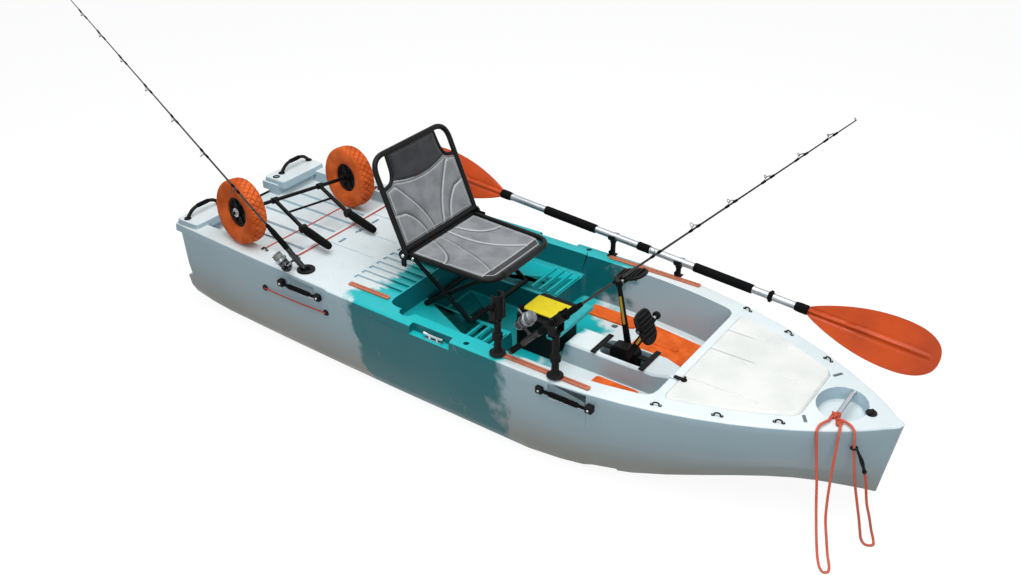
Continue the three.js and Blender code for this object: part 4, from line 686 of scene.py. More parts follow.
def path_curve(name: str, points: Sequence[Spot], radius: float, shares: Sequence[float] | None = None,
        closed: bool = False, rings: int = 4) -> Piece:
    """A round curve object along points, not yet dressed.

    Args:
        name: The object's name.
        points: Its centreline.
        radius: Its radius.
        shares: The radius at each point as a share.
        closed: Whether the ends join.
        rings: Roundness of its section.

    Returns:
        The curve's object, in the scene.
    """
    curve = bpy.data.curves.new(name, "CURVE")
    curve.dimensions = "3D"
    curve.bevel_depth = radius
    curve.bevel_resolution = rings
    curve.use_fill_caps = not closed
    spline = curve.splines.new("POLY")
    spline.points.add(len(points) - 1)
    for i, (knot, place) in enumerate(zip(spline.points, points)):
        knot.co = (*place, 1.0)
        knot.radius = shares[i] if shares else 1.0
    spline.use_cyclic_u = closed
    made = bpy.data.objects.new(name, curve)
    bpy.context.scene.collection.objects.link(made)
    return made


def soften(piece: Piece, bevel: float, segments: int = 2, clamp: bool = True) -> None:
    """Rounds a piece's sharp edges and evens its shading.

    Args:
        piece: The object.
        bevel: Width of the rounding, or 0 for none.
        segments: Faces across the rounding.
        clamp: Whether roundings stop where they would meet.
    """
    if bevel:
        edge = piece.modifiers.new("rounded_edges", "BEVEL")
        edge.width = bevel
        edge.segments = segments
        edge.profile = 0.5
        edge.limit_method = "ANGLE"
        edge.angle_limit = radians(32)
        edge.use_clamp_overlap = clamp
    even = piece.modifiers.new("even_shading", "WEIGHTED_NORMAL")
    even.keep_sharp = True


class Form:
    """A piece in the making: bmesh operators shape it in its own frame, then it is set down."""

    MERGE = 1e-6

    def __init__(self, place: Matrix | None = None) -> None:
        """Starts an empty form whose own frame is set down at a place."""
        self.bm = bmesh.new()
        self.place = place or Matrix()

    def pole(self, start: Spot, end: Spot, radius: float, tip: float | None = None,
            sides: int = 28) -> None:
        """Adds a round bar or taper from one point to another."""
        a, b = Vector(start), Vector(end)
        turn = (b - a).to_track_quat("Z", "Y").to_matrix().to_4x4()
        bmesh.ops.create_cone(
            self.bm, cap_ends=True, segments=sides, radius1=radius, radius2=radius if tip is None else tip,
            depth=(b - a).length, matrix=Matrix.Translation((a + b) / 2) @ turn,
        )

    def block(self, low: Point, high: Point, turn: Matrix | None = None) -> None:
        """Adds a box between two corners, turned about its middle."""
        a, b = Vector(low), Vector(high)
        size = Matrix.Diagonal((*(b - a), 1.0))
        bmesh.ops.create_cube(
            self.bm, size=1.0, matrix=Matrix.Translation((a + b) / 2) @ (turn or Matrix()) @ size,
        )

    def ball(self, centre: Point, size: Point, rows: int = 14) -> None:
        """Adds an ellipsoid of three half sizes about a centre."""
        bmesh.ops.create_uvsphere(
            self.bm, u_segments=rows * 2, v_segments=rows, radius=1.0,
            matrix=Matrix.Translation(centre) @ Matrix.Diagonal((*size, 1.0)),
        )

    def turned(self, profile: Profile, place: Matrix | None = None, steps: int = 40, sweep: float = 360.0,
            closed: bool = False, start: float = 0.0) -> None:
        """Adds a turned shape about its Z axis.

        Args:
            profile: Radius and height of each point.
            place: Where it stands in the form's frame.
            steps: Faces round it.
            sweep: Degrees that it goes round.
            closed: Whether the profile is a ring of its own.
            start: Degrees from X where it begins.
        """
        first = rotate(start, "Z")
        known = set(self.bm.verts)
        verts = [self.bm.verts.new(first @ Vector((r, 0.0, z))) for r, z in profile]
        geom = [*verts, *[self.bm.edges.new(pair) for pair in zip(verts, verts[1:])]]
        full = sweep >= 360.0
        if closed:
            geom.append(self.bm.edges.new((verts[-1], verts[0])))
        if closed and not full:
            geom = [self.bm.faces.new(verts)]
        bmesh.ops.spin(self.bm, geom=geom, cent=(0, 0, 0), axis=(0, 0, 1), angle=radians(sweep),
            steps=steps, use_merge=full)
        bmesh.ops.remove_doubles(self.bm, verts=[v for v in self.bm.verts if v not in known], dist=self.MERGE)
        if place:
            bmesh.ops.transform(self.bm, matrix=place, verts=[v for v in self.bm.verts if v not in known])

    def plate(self, outline: list[Pair], low: float, high: float, place: Matrix | None = None) -> None:
        """Adds a flat plate: an outline in X and Y, thick from low to high."""
        known = set(self.bm.verts)
        face = self.bm.faces.new([self.bm.verts.new((x, y, low)) for x, y in outline])
        raised = bmesh.ops.extrude_face_region(self.bm, geom=[face])
        top = [v for v in raised["geom"] if isinstance(v, bmesh.types.BMVert)]
        bmesh.ops.translate(self.bm, vec=(0, 0, high - low), verts=top)
        if place:
            bmesh.ops.transform(self.bm, matrix=place, verts=[v for v in self.bm.verts if v not in known])

    def sweep(self, points: Sequence[Spot], radius: float, shares: Sequence[float] | None = None,
            closed: bool = False, rings: int = 4) -> None:
        """Adds a round tube along points."""
        line = path_curve("line", points, radius, shares, closed, rings)
        mesh = bpy.data.meshes.new_from_object(line)
        self.bm.from_mesh(mesh)
        curve = line.data
        bpy.data.objects.remove(line)
        bpy.data.curves.remove(curve)
        bpy.data.meshes.remove(mesh)

    def ring(self, centre: Point, axis: Point, radius: float, wire: float, sides: int = 28) -> None:
        """Adds a round wire ring about an axis."""
        turn = Vector(axis).to_track_quat("Z", "Y").to_matrix()
        points = [Vector(centre) + turn @ spot for spot in circle(sides, radius)]
        self.sweep(points, wire, closed=True, rings=2)

    def studs(self, count: int, radius: float, heights: Pair, size: float, sides: int = 8,
            place: Matrix | None = None) -> None:
        """Adds small bars round a circle about Z.

        Args:
            count: How many.
            radius: Radius of the circle.
            heights: Where each starts and ends.
            size: Radius of each.
            sides: Faces round each.
            place: Where the circle lies in the form's frame.
        """
        place = place or Matrix()
        for foot, tip in zip(*(circle(count, radius, height) for height in heights)):
            self.pole(place @ foot, place @ tip, size, sides=sides)

    def settle(self, name: str, body: Body, finish: Finish, stands_for: tuple[str, ...] = (),
            bevel: float = 0.0,
            smooth: float = 38.0, slot: Slot | None = None) -> Piece:
        """Sets the form down as one dressed object.

        Args:
            name: The object's name.
            body: The body that carries it.
            finish: Its finish.
            stands_for: The CAD nodes that it replaces.
            bevel: Width of the rounding of its edges.
            smooth: Angle above which an edge stays sharp.
            slot: The record's material slot, where it isn't the finish's usual one. It is not used.

        Returns:
            The object.
        """
        bm = self.bm
        bmesh.ops.transform(bm, matrix=self.place, verts=bm.verts)
        bmesh.ops.recalc_face_normals(bm, faces=bm.faces)
        for face in bm.faces:
            face.smooth = True
        for edge in bm.edges:
            edge.smooth = edge.is_manifold and edge.calc_face_angle(0.0) < radians(smooth)
        mesh = bpy.data.meshes.new(name)
        bm.to_mesh(mesh)
        bm.free()
        made = bpy.data.objects.new(name, mesh)
        bpy.context.scene.collection.objects.link(made)
        soften(made, bevel)
        return dress(made, body, finish, stands_for)


def dress(piece: Piece, body: Body, finish: Finish, stands_for: tuple[str, ...] = ()) -> Piece:
    """Gives a new piece its finish and body.

    Args:
        piece: The object.
        body: The body that carries it.
        finish: Its finish.
        stands_for: The CAD nodes that it replaces.

    Returns:
        The same object.
    """
    piece.data.materials.append(finish.material())
    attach(piece, body.value)
    if stands_for:
        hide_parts(*stands_for)
    log.info("%s rides on %s", piece.name, body.value)
    return piece


def dress_node(name: str, finish: Finish, bevel: float = 0.0012, clamp: bool = True) -> None:
    """Gives a CAD node that stays its finish, rounded edges and even shading.

    Args:
        name: The node.
        finish: Its finish.
        bevel: Width of the rounding.
        clamp: Whether roundings stop where they would meet.
    """
    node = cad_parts[name]
    for place in node.material_slots:
        place.material = finish.material()
    if not node.material_slots:
        node.data.materials.append(finish.material())
    node.data.polygons.foreach_set("use_smooth", [True] * len(node.data.polygons))
    weld = node.modifiers.new("joined_corners", "WELD")
    weld.merge_threshold = 2e-5
    flat = node.modifiers.new("whole_faces", "DECIMATE")
    flat.decimate_type = "DISSOLVE"
    flat.angle_limit = radians(0.8)
    if node.vertex_groups.get("sheer"):
        sheer = node.modifiers.new("rounded_gunwale", "BEVEL")
        sheer.limit_method = "VGROUP"
        sheer.vertex_group = "sheer"
        sheer.width = 0.011
        sheer.segments = 4
        sheer.profile = 0.5
        sheer.use_clamp_overlap = False
    soften(node, bevel, clamp=clamp)
    log.info("%s keeps its solid", name)


@dataclass
class View:
    """The photograph's camera."""

    place: Point = (2.1184, -3.0390, 2.6077)
    azimuth: float = 34.948
    elevation: float = 30.884
    roll: float = -0.100
    focal_pixels: float = 1099.6
    sensor: float = 36.0

    def build(self) -> None:
        """Makes the camera and gives it to the scene."""
        a, e, r = (radians(v) for v in (self.azimuth, self.elevation, self.roll))
        back = Vector((sin(a) * cos(e), -cos(a) * cos(e), sin(e)))
        level = Vector((cos(a), sin(a), 0.0))
        right = cos(r) * level + sin(r) * back.cross(level)
        up = back.cross(right)
        lens = bpy.data.cameras.new("view")
        lens.sensor_fit = "HORIZONTAL"
        lens.sensor_width = self.sensor
        lens.lens = self.focal_pixels / IMAGE_WIDTH * self.sensor
        camera = bpy.data.objects.new("view", lens)
        turn = Matrix((right, up, back)).transposed().to_4x4()
        camera.matrix_world = Matrix.Translation(self.place) @ turn
        bpy.context.scene.collection.objects.link(camera)
        bpy.context.scene.camera = camera


@dataclass
class Studio:
    """Pale floor, broad soft lamp overhead and a quiet world."""

    lamp_place: Point = (0.3, -0.6, 4.2)
    lamp_size: float = 4.0
    lamp_power: float = 165.0
    front_place: Point = (3.4, -4.2, 2.6)
    front_aim: Point = (0.0, 0.0, 0.3)
    front_size: float = 2.4
    front_power: float = 75.0
    sky: float = 0.34
    sky_colour: tuple[float, ...] = (0.93, 0.97, 1.0, 1.0)
    floor_half: float = 30.0
    floor_z: float = -0.0015
    floor_glow: float = 1.08
    glow_share: float = 0.84

    def build(self) -> None:
        """Makes the floor, the lamps and the world."""
        self.floor()
        self.lamp("overhead", self.lamp_place, (0.0, 0.0, 0.0), self.lamp_size, self.lamp_power)
        self.lamp("front", self.front_place, self.front_aim, self.front_size, self.front_power)
        world = bpy.data.worlds.new("studio")
        world.use_nodes = True
        bpy.context.scene.world = world
        graph = Graph(world.node_tree)
        ground = world.node_tree.nodes["Background"]
        white = graph.put("ShaderNodeBackground", {"Color": (1, 1, 1, 1), "Strength": 1.0})
        ground.inputs["Color"].default_value = self.sky_colour
        ground.inputs["Strength"].default_value = self.sky
        chosen = graph.put("ShaderNodeMixShader",
            {0: self.seen(graph), 1: ground.outputs[0], 2: white.outputs[0]})
        graph.tree.links.new(chosen.outputs[0], world.node_tree.nodes["World Output"].inputs["Surface"])
        bpy.context.scene.view_settings.view_transform = "Standard"

    @staticmethod
    def seen(graph: Graph) -> Socket:
        """One where a surface is seen directly, in gloss or through glass."""
        rays = graph.put("ShaderNodeLightPath")
        both = graph.sum("MAXIMUM", rays.outputs["Is Camera Ray"], rays.outputs["Is Glossy Ray"])
        return graph.sum("MAXIMUM", both, rays.outputs["Is Transmission Ray"])

    def floor(self) -> None:
        """Makes the floor: white to the eye, quiet to the kayak, with its shadow kept."""
        form = Form()
        bmesh.ops.create_grid(form.bm, x_segments=2, y_segments=2, size=self.floor_half)
        bmesh.ops.translate(form.bm, vec=(0, 0, self.floor_z), verts=form.bm.verts)
        mesh = bpy.data.meshes.new("floor")
        form.bm.to_mesh(mesh)
        form.bm.free()
        floor = bpy.data.objects.new("floor", mesh)
        bpy.context.scene.collection.objects.link(floor)
        paint = bpy.data.materials.new("floor_paint")
        paint.use_nodes = True
        graph = Graph(paint.node_tree)
        seen = self.seen(graph)
        matt = paint.node_tree.nodes["Principled BSDF"]
        colour = graph.mix(seen, (0.3, 0.3, 0.3, 1), (0.9, 0.9, 0.9, 1))
        graph.join(colour, matt, "Base Color")
        matt.inputs["Roughness"].default_value = 0.9
        matt.inputs["Specular IOR Level"].default_value = 0.0
        glow = graph.put("ShaderNodeEmission", {"Color": (1, 1, 1, 1), "Strength": self.floor_glow})
        share = graph.times(seen, self.glow_share)
        both = graph.put("ShaderNodeMixShader", {0: share, 1: matt.outputs[0], 2: glow.outputs[0]})
        graph.tree.links.new(both.outputs[0], paint.node_tree.nodes["Material Output"].inputs["Surface"])
        mesh.materials.append(paint)

    @staticmethod
    def lamp(name: str, place: Point, aim: Point, size: float, power: float) -> None:
        """Makes one square soft lamp that looks at a point."""
        light = bpy.data.lights.new(name, "AREA")
        light.size = size
        light.energy = power
        lamp = bpy.data.objects.new(name, light)
        turn = (Vector(aim) - Vector(place)).to_track_quat("-Z", "Y").to_matrix().to_4x4()
        lamp.matrix_world = Matrix.Translation(place) @ turn
        bpy.context.scene.collection.objects.link(lamp)


@dataclass
class HullLines:
    """The hull's outline, for pieces that sit on it."""

    aft: float = -1.5
    fore: float = 1.546
    widest: float = 0.35
    half_beam: float = 0.457
    stern_narrowing: float = 0.057
    fullness: float = 0.82
    deck: float = 0.4
    aft_deck_fore: float = -0.59
    aft_deck_rise: float = 0.006
    flank_share: float = 0.976
    flank_low: float = 0.2
    flank_rise: float = 0.16

    def beam(self, x: float) -> float:
        """Half the hull's width at a place along it."""
        run = (self.widest - x) / (self.widest - self.aft)
        if run >= 0:
            return self.half_beam - self.stern_narrowing * run * run
        run = min((x - self.widest) / (self.fore - self.widest), 1.0)
        return self.half_beam * (1 - run * run) ** self.fullness

    def flank(self, x: float, z: float) -> float:
        """Half width at a height on the upper flank, aft of the widest place."""
        up = min(max((z - self.flank_low) / self.flank_rise, 0.0), 1.0)
        return self.beam(x) * (self.flank_share + (1 - self.flank_share) * up)


LINES = HullLines()


@dataclass
class BowRopes:
    """Two looped ropes tied to the bow bar, one ending in a knot and one in a snap clip."""

    radius: float = 0.0045
    left_length: float = 1.143
    right_length: float = 0.833
    bar: Point = (1.345, -0.082, 0.388)
    end_knot: float = 0.0032
    bar_knot: float = 0.0045
    bar_knot_offset: Point = (0.002, 0.0, 0.02)
    knot_steps: int = 72
    wrap_turns: int = 3
    wrap_steps: int = 20
    wrap_pitch: float = 0.009
    wrap_reach: float = 0.0138
    hook_index: int = 7
    hook_axis: Point = (0.2, -0.08, -1.0)
    hook: Pair = (0.0104, 0.0034)
    clip: float = 0.0072
    clip_shares: tuple[float, ...] = (0.9, 0.6, 0.6, 1.05, 1.15, 1.0)
    left: Route = (
        (1.341, -0.076, 0.4006), (1.339, -0.098, 0.4054), (1.338, -0.124, 0.409), (1.33, -0.148, 0.41),
        (1.325, -0.168, 0.411), (1.324, -0.186, 0.404), (1.328, -0.193, 0.38), (1.335, -0.197, 0.345),
        (1.346, -0.203, 0.285), (1.36, -0.212, 0.22), (1.378, -0.236, 0.15), (1.402, -0.272, 0.084),
        (1.424, -0.305, 0.036), (1.44, -0.328, 0.012), (1.456, -0.35, 0.005), (1.472, -0.362, 0.005),
        (1.484, -0.352, 0.005), (1.48, -0.332, 0.008), (1.462, -0.305, 0.026), (1.44, -0.275, 0.068),
        (1.42, -0.25, 0.118), (1.408, -0.226, 0.175), (1.4, -0.204, 0.235), (1.394, -0.184, 0.3),
        (1.39, -0.168, 0.36), (1.388, -0.158, 0.394), (1.384, -0.144, 0.408), (1.378, -0.128, 0.41),
        (1.37, -0.118, 0.407),
    )
    right: Route = (
        (1.351, -0.076, 0.4001), (1.361, -0.095, 0.4054), (1.378, -0.101, 0.409), (1.396, -0.107, 0.41),
        (1.412, -0.116, 0.41), (1.426, -0.128, 0.404), (1.433, -0.136, 0.384), (1.438, -0.14, 0.35),
        (1.45, -0.146, 0.29), (1.466, -0.15, 0.22), (1.484, -0.15, 0.15), (1.5, -0.15, 0.09),
        (1.512, -0.152, 0.044), (1.522, -0.156, 0.014), (1.536, -0.162, 0.005), (1.552, -0.16, 0.005),
        (1.562, -0.148, 0.005), (1.556, -0.134, 0.012), (1.542, -0.126, 0.04), (1.526, -0.124, 0.09),
        (1.51, -0.126, 0.14), (1.5, -0.126, 0.186), (1.494, -0.127, 0.222), (1.488, -0.129, 0.246),
        (1.484, -0.131, 0.262),
    )

    def build(self) -> None:
        """Makes both ropes, their knots and the wraps round the bar."""
        knot = self.knot("rope_end_knot", Vector(self.left[-1]), self.end_knot)
        self.rope("left", self.left, knot)
        self.rope("right", self.right, self.snap_clip())
        self.knot("bow_bar_knot", Vector(self.bar) + Vector(self.bar_knot_offset), self.bar_knot)
        wrap = Form(shift(*self.bar))
        points = []
        for i in range(self.wrap_turns * self.wrap_steps + 1):
            angle, along = tau * i / self.wrap_steps, i / self.wrap_steps - self.wrap_turns / 2
            points.append((self.wrap_reach * sin(angle), self.wrap_pitch * along,
                self.wrap_reach * cos(angle)))
        wrap.sweep(points, self.radius)
        wrap.settle("bow_bar_wraps", Body.HULL, Finishes.ROPE)

    def rope(self, word: str, route: Route, piece: Piece) -> None:
        """Args:
            word: Which rope.
            route: Its points from the bar to its free end.
            piece: The piece that is there. It is not used.
        """
        made = path_curve(f"bow_rope_loop_{word}", flowing_line(route), self.radius)
        dress(made, Body.HULL, Finishes.ROPE, (f"bow_rope_{word}",))

    def snap_clip(self) -> Piece:
        """Makes the snap clip at the rope's end, hooked back over its own rope."""
        hook, end = Vector(self.right[self.hook_index]), Vector(self.right[-1])
        form = Form()
        form.ring(hook, self.hook_axis, *self.hook)
        start = hook + Vector((0.0085, 0.0015, -0.001))
        knee = end + (Vector(self.right[-2]) - end) * -0.55
        bulge = start.lerp(knee, 0.5) + Vector((0.003, 0, 0.001))
        path = rounded_path([start, bulge, knee, end + Vector((0, 0, 0.0008))], 0.02)
        count = len(path)
        shares = [0.55 + 0.45 * sin(pi * min(k / count * 1.5, 1.0)) for k in range(count)]
        shares[-len(self.clip_shares):] = self.clip_shares
        form.sweep(path, self.clip, shares, rings=6)
        form.ball(start.lerp(knee, 0.35) + Vector((0.004, -0.0055, 0)), (0.0026, 0.003, 0.0045), 8)
        return form.settle("rope_snap_clip", Body.HULL, Finishes.PLASTIC, ("snap_clip",))

    def knot(self, name: str, place: Vector, size: float) -> Piece:
        """Makes one pulled-tight overhand knot."""
        points = []
        for i in range(self.knot_steps):
            t = tau * i / self.knot_steps
            lobe = (sin(t) + 2 * sin(2 * t), cos(t) - 2 * cos(2 * t), -sin(3 * t))
            points.append(place + Vector(lobe) * size)
        form = Form()
        form.sweep(points, self.radius * 0.9, closed=True)
        return form.settle(name, Body.HULL, Finishes.ROPE)


class PadEyes:
    """A row of pad eyes: a loop on two feet each, held by plated screws."""

    FOOT: Profile = ((0.0, -0.001), (0.0065, -0.001), (0.0065, 0.0022), (0.0045, 0.003), (0.0, 0.003))
    SCREW: Profile = ((0.0, 0.0028), (0.0028, 0.0028), (0.0022, 0.0042), (0.0, 0.0046))
    LEAN = 0.296
    FOOT_APART = 0.014
    LOOP_END = 0.013
    LOOP_TOP = (0.008, 0.011)
    WIRE = 0.0027

    def __init__(self) -> None:
        """Starts an empty row."""
        self.loops, self.screws = Form(), Form()

    def add(self, place: Vector, side: int) -> None:
        """Adds one eye: a foot at each end and a loop between."""
        along = Vector((0.955, -side * self.LEAN, 0.0))
        for end in (-self.FOOT_APART, self.FOOT_APART):
            foot = Matrix.Translation(place + along * end)
            self.loops.turned(self.FOOT, foot, 20)
            self.screws.turned(self.SCREW, foot, 16)
        half, rise = self.LOOP_TOP
        up = Vector((0, 0, rise))
        reach, bend = along * self.LOOP_END, along * half
        loop = [place - reach, place - bend + up, place + bend + up, place + reach]
        self.loops.sweep(rounded_path(loop, half), self.WIRE)

    def settle(self, word: str) -> None:
        """Sets the row down as loops and screws."""
        self.loops.settle(f"{word}_eyes", Body.HULL, Finishes.PLASTIC, bevel=0.0006)
        self.screws.settle(f"{word}_eye_screws", Body.HULL, Finishes.CHROME)


@dataclass
class HullFittings:
    """The shell and the small parts fixed to it."""

    bungee: float = 0.0028
    lead_apart: float = 0.006
    fairleads: Profile = ((-0.943, 0.279), (-0.589, 0.291))
    lead: Profile = ((0.0, -0.004), (0.0135, -0.004), (0.0135, 0.003), (0.0105, 0.0065), (0.0055, 0.007),
        (0.0045, 0.004), (0.0, 0.004))
    pad_eyes: Profile = ((0.835, 0.362), (1.027, 0.298), (1.207, 0.217))
    well_eyes: Profile = ((-0.846, 0.324), (-1.0, 0.352))
    cord_rise: float = 0.0065
    cord_sag: float = 0.004
    cord_steps: int = 16
    handles: tuple[tuple[str, float], ...] = (("aft", -0.718), ("fore", 0.536))
    handle_half: float = 0.1
    handle_z: float = 0.355
    handle_stand: float = 0.013
    handle_rod: float = 0.0062
    foot_half: float = 0.014
    grip: Profile = ((0.0065, -0.062), (0.0092, -0.056), (0.0098, 0.0), (0.0092, 0.056), (0.0065, 0.062))
    track_bevel: float = 0.0012
    stern_spot: Point = (-1.444, 0.0, 0.4283)
    stern_ends: Pair = (0.192, 0.372)
    stern_rise: float = 0.036
    stern_lift: float = 0.0025
    stern_foot: Profile = ((0.0, 0.0), (0.0152, 0.0), (0.0152, 0.0035), (0.013, 0.0055), (0.0, 0.0055))
    sleeve_shares: tuple[float, ...] = (0.9, 1, 0.96, 1, 0.96, 1, 0.96, 1, 0.9)
    bar_spot: Point = (1.345, 0.0, 0.388)
    bar_half: float = 0.0965
    grommet_spot: Point = (-1.436, 0.15, 0.428)
    grommet: Profile = ((0.0125, -0.001), (0.0165, -0.001), (0.0165, 0.0015), (0.014, 0.003),
        (0.0125, 0.0015))
    slot_spot: Pair = (1.268, 0.15)
    slot_half: Pair = (0.006, 0.019)
    slot_turn: float = 32.0
    cleat_x: float = -0.045
    cleat_z: float = 0.366

    def build(self) -> None:
        """Dresses the shell and makes every fitting on it."""
        self.round_gunwale()
        dress_node("hull", Finishes.HULL, 0.0022, clamp=False)
        dress_node("hatch_lid", Finishes.LID, 0.002)
        dress_node("hatch_latch", Finishes.PLASTIC, 0.0008)
        dress_node("bow_plug", Finishes.PLASTIC, 0.0008)
        dress_node("inner_rail", Finishes.PLASTIC, 0.002)
        for word, _ in SIDES:
            dress_node(f"flush_holder_{word}", Finishes.PLASTIC, 0.001)
            for end, _ in self.handles:
                dress_node(f"gear_track_{end}_{word}", Finishes.RAIL, self.track_bevel)
        for word, side in SIDES:
            for end, x in self.handles:
                self.side_handle(f"side_handle_{end}_{word}", x, side)
            self.stern_handle(f"stern_handle_{word}", side)
            self.side_line(word, side)
        self.bow_bar()
        self.eyes()
        self.grommets_and_slots()
        self.cleats()
        crossbar = Form()
        crossbar.block((0.253, -0.14, 0.322), (0.296, 0.14, 0.342))
        crossbar.settle("console_crossbar", Body.HULL, Finishes.COAMING, bevel=0.006)

    def round_gunwale(self) -> None:
        """Marks the outer sheer of the shell, whose edge is rounded more than the rest."""
        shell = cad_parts["hull"]
        group = shell.vertex_groups.new(name="sheer")
        chosen = []
        for vert in shell.data.vertices:
            x, y, z = vert.co
            level = LINES.deck + (0.0 if x > LINES.aft_deck_fore else LINES.aft_deck_rise)
            if abs(z - level) < 0.0012 and abs(abs(y) - LINES.beam(x)) < 0.004:
                chosen.append(vert.index)
        group.add(chosen, 1.0, "REPLACE")
        log.info("gunwale: %d corners", len(chosen))

    def side_handle(self, name: str, x: float, side: int) -> None:
        """Makes one carrying handle on a flank.

        Args:
            name: The CAD node that it stands for.
            x: Where its middle is along the hull.
            side: Port or starboard.
        """
        place = mirror(side) @ shift(x, LINES.beam(x) + self.handle_stand, self.handle_z)
        feet, grip, bolts = Form(place), Form(place), Form(place)
        half = self.foot_half
        for at in (-self.handle_half, self.handle_half):
            feet.block((at - half, -0.019, -half), (at + half, half / 2, half))
            bolts.pole((at, 0.005, 0), (at, 0.009, 0), 0.0052, 0.004)
        reach = self.handle_half + 0.004
        grip.pole((-reach, 0, 0), (reach, 0, 0), self.handle_rod)
        grip.turned(self.grip, ALONG_X)
        for k in range(-4, 5):
            grip.ring((k * 0.012, 0, 0), (1, 0, 0), 0.0097, 0.0011, 16)
        feet.settle(f"{name}_ends", Body.HULL, Finishes.PLASTIC, (name,), bevel=0.004)
        grip.settle(f"{name}_grip", Body.HULL, Finishes.RUBBER)
        bolts.settle(f"{name}_bolts", Body.HULL, Finishes.CHROME)

    def stern_handle(self, name: str, side: int) -> None:
        """Makes one arched lifting handle on a stern quarter."""
        place = shift(*self.stern_spot) @ mirror(side)
        (inner, outer), rise, low = self.stern_ends, self.stern_rise, self.stern_lift
        form, sleeve = Form(place), Form(place)
        top = rise + low
        corners = [(0, inner, low), (0, inner + rise, top), (0, outer - rise, top), (0, outer, low)]
        form.sweep(rounded_path(corners, rise), 0.0078, rings=6)
        for y in self.stern_ends:
            form.turned(self.stern_foot, shift(0, y, 0))
        middle = (inner + outer) / 2
        sleeve.sweep([(0, middle + k * 0.008, top) for k in range(-4, 5)], 0.0098, self.sleeve_shares)
        form.settle(f"{name}_arch", Body.HULL, Finishes.TUBE, (name,))
        sleeve.settle(f"{name}_sleeve", Body.HULL, Finishes.RUBBER)

    def bow_bar(self) -> None:
        """Makes the plated bar across the bow recess."""
        form = Form(shift(*self.bar_spot))
        form.pole((0, -self.bar_half, 0), (0, self.bar_half, 0), 0.009, sides=36)
        for side in (STARBOARD, PORT):
            form.pole((0, side * (self.bar_half - 0.004), 0), (0, side * (self.bar_half + 0.0003), 0), 0.0125,
                0.0115)
        form.settle("bow_bar", Body.HULL, Finishes.CHROME, ("bow_handle_bar",), bevel=0.0008)

    def side_line(self, word: str, side: int) -> None:
        """Makes the paddle keeper on one flank: two round leads and the shock cord between."""
        leads, line = Form(), []
        for x, z in self.fairleads:
            y = side * LINES.flank(x, z)
            leads.turned(self.lead, shift(x, y, z) @ outward(side))
            line.append(Vector((x, y + side * 0.0062, z)))
        leads.settle(f"side_leads_{word}", Body.HULL, Finishes.PLASTIC)
        start, end = line
        middle = (start + end) / 2 + Vector((0, side * 0.0035, -0.001))
        inward = Vector((0, -side * self.lead_apart, 0))
        path = [start + inward, *flowing_line([start, middle, end], 8), end + inward]
        cord = path_curve(f"side_bungee_{word}", path, self.bungee)
        dress(cord, Body.HULL, Finishes.BUNGEE)

    def eyes(self) -> None:
        """Makes the pad eyes along the deck, and the shock cords across the tank well on theirs."""
        deck, well = PadEyes(), PadEyes()
        level = LINES.deck + LINES.aft_deck_rise
        for x, y in self.pad_eyes:
            for side in (STARBOARD, PORT):
                deck.add(Vector((x, side * y, LINES.deck)), side)
        deck.settle("deck")
        for i, (x, y) in enumerate(self.well_eyes):
            for side in (STARBOARD, PORT):
                well.add(Vector((x, side * y, level)), 0)
            path = []
            for k in range(self.cord_steps + 1):
                share = k / self.cord_steps
                sag = self.cord_sag * sin(pi * share)
                path.append((x, y * (2 * share - 1), level + self.cord_rise - sag))
            cord = path_curve(f"well_bungee_{i}", path, self.bungee)
            dress(cord, Body.HULL, Finishes.BUNGEE)
        well.settle("well")

    def grommets_and_slots(self) -> None:
        """Makes the stern's grommets and the recessed slots in front of the hatch, as thin plates painted
        grey for the shade inside them.
        """
        grommets, slots = Form(), Form()
        (x, y), (long, wide) = self.slot_spot, self.slot_half
        for side in (STARBOARD, PORT):
            grommets.turned(self.grommet, mirror(side) @ shift(*self.grommet_spot), 32, closed=True)
            slots.block((x - long, side * y - wide, 0.3985), (x + long, side * y + wide, 0.4008),
                rotate(-side * self.slot_turn, "Z"))
        grommets.settle("stern_grommets", Body.HULL, Finishes.RUBBER)
        slots.settle("hatch_front_slots", Body.HULL, Finishes.PAINTED_SLOT_SHADE, bevel=0.0005)

    def cleats(self) -> None:
        """Makes the two plated cleats beside the seat."""
        form = Form()
        for side in (STARBOARD, PORT):
            at = Vector((self.cleat_x, side * (LINES.beam(self.cleat_x - 0.005) - 0.016), self.cleat_z))
            form.block(at + Vector((-0.04, -0.006, -0.0025)), at + Vector((0.04, 0.006, 0.0025)))
            for x in (-0.017, 0.017):
                form.pole(at + Vector((x, 0, 0)), at + Vector((x, 0, 0.014)), 0.0055, 0.0045)
            horn = [at + Vector((x, 0, z)) for x,
                z in ((-0.045, 0.018), (-0.025, 0.015), (0.025, 0.015), (0.045, 0.018))]
            form.sweep(rounded_path(horn, 0.012), 0.0048)
        form.settle("side_cleats", Body.HULL, Finishes.CHROME, bevel=0.0008)


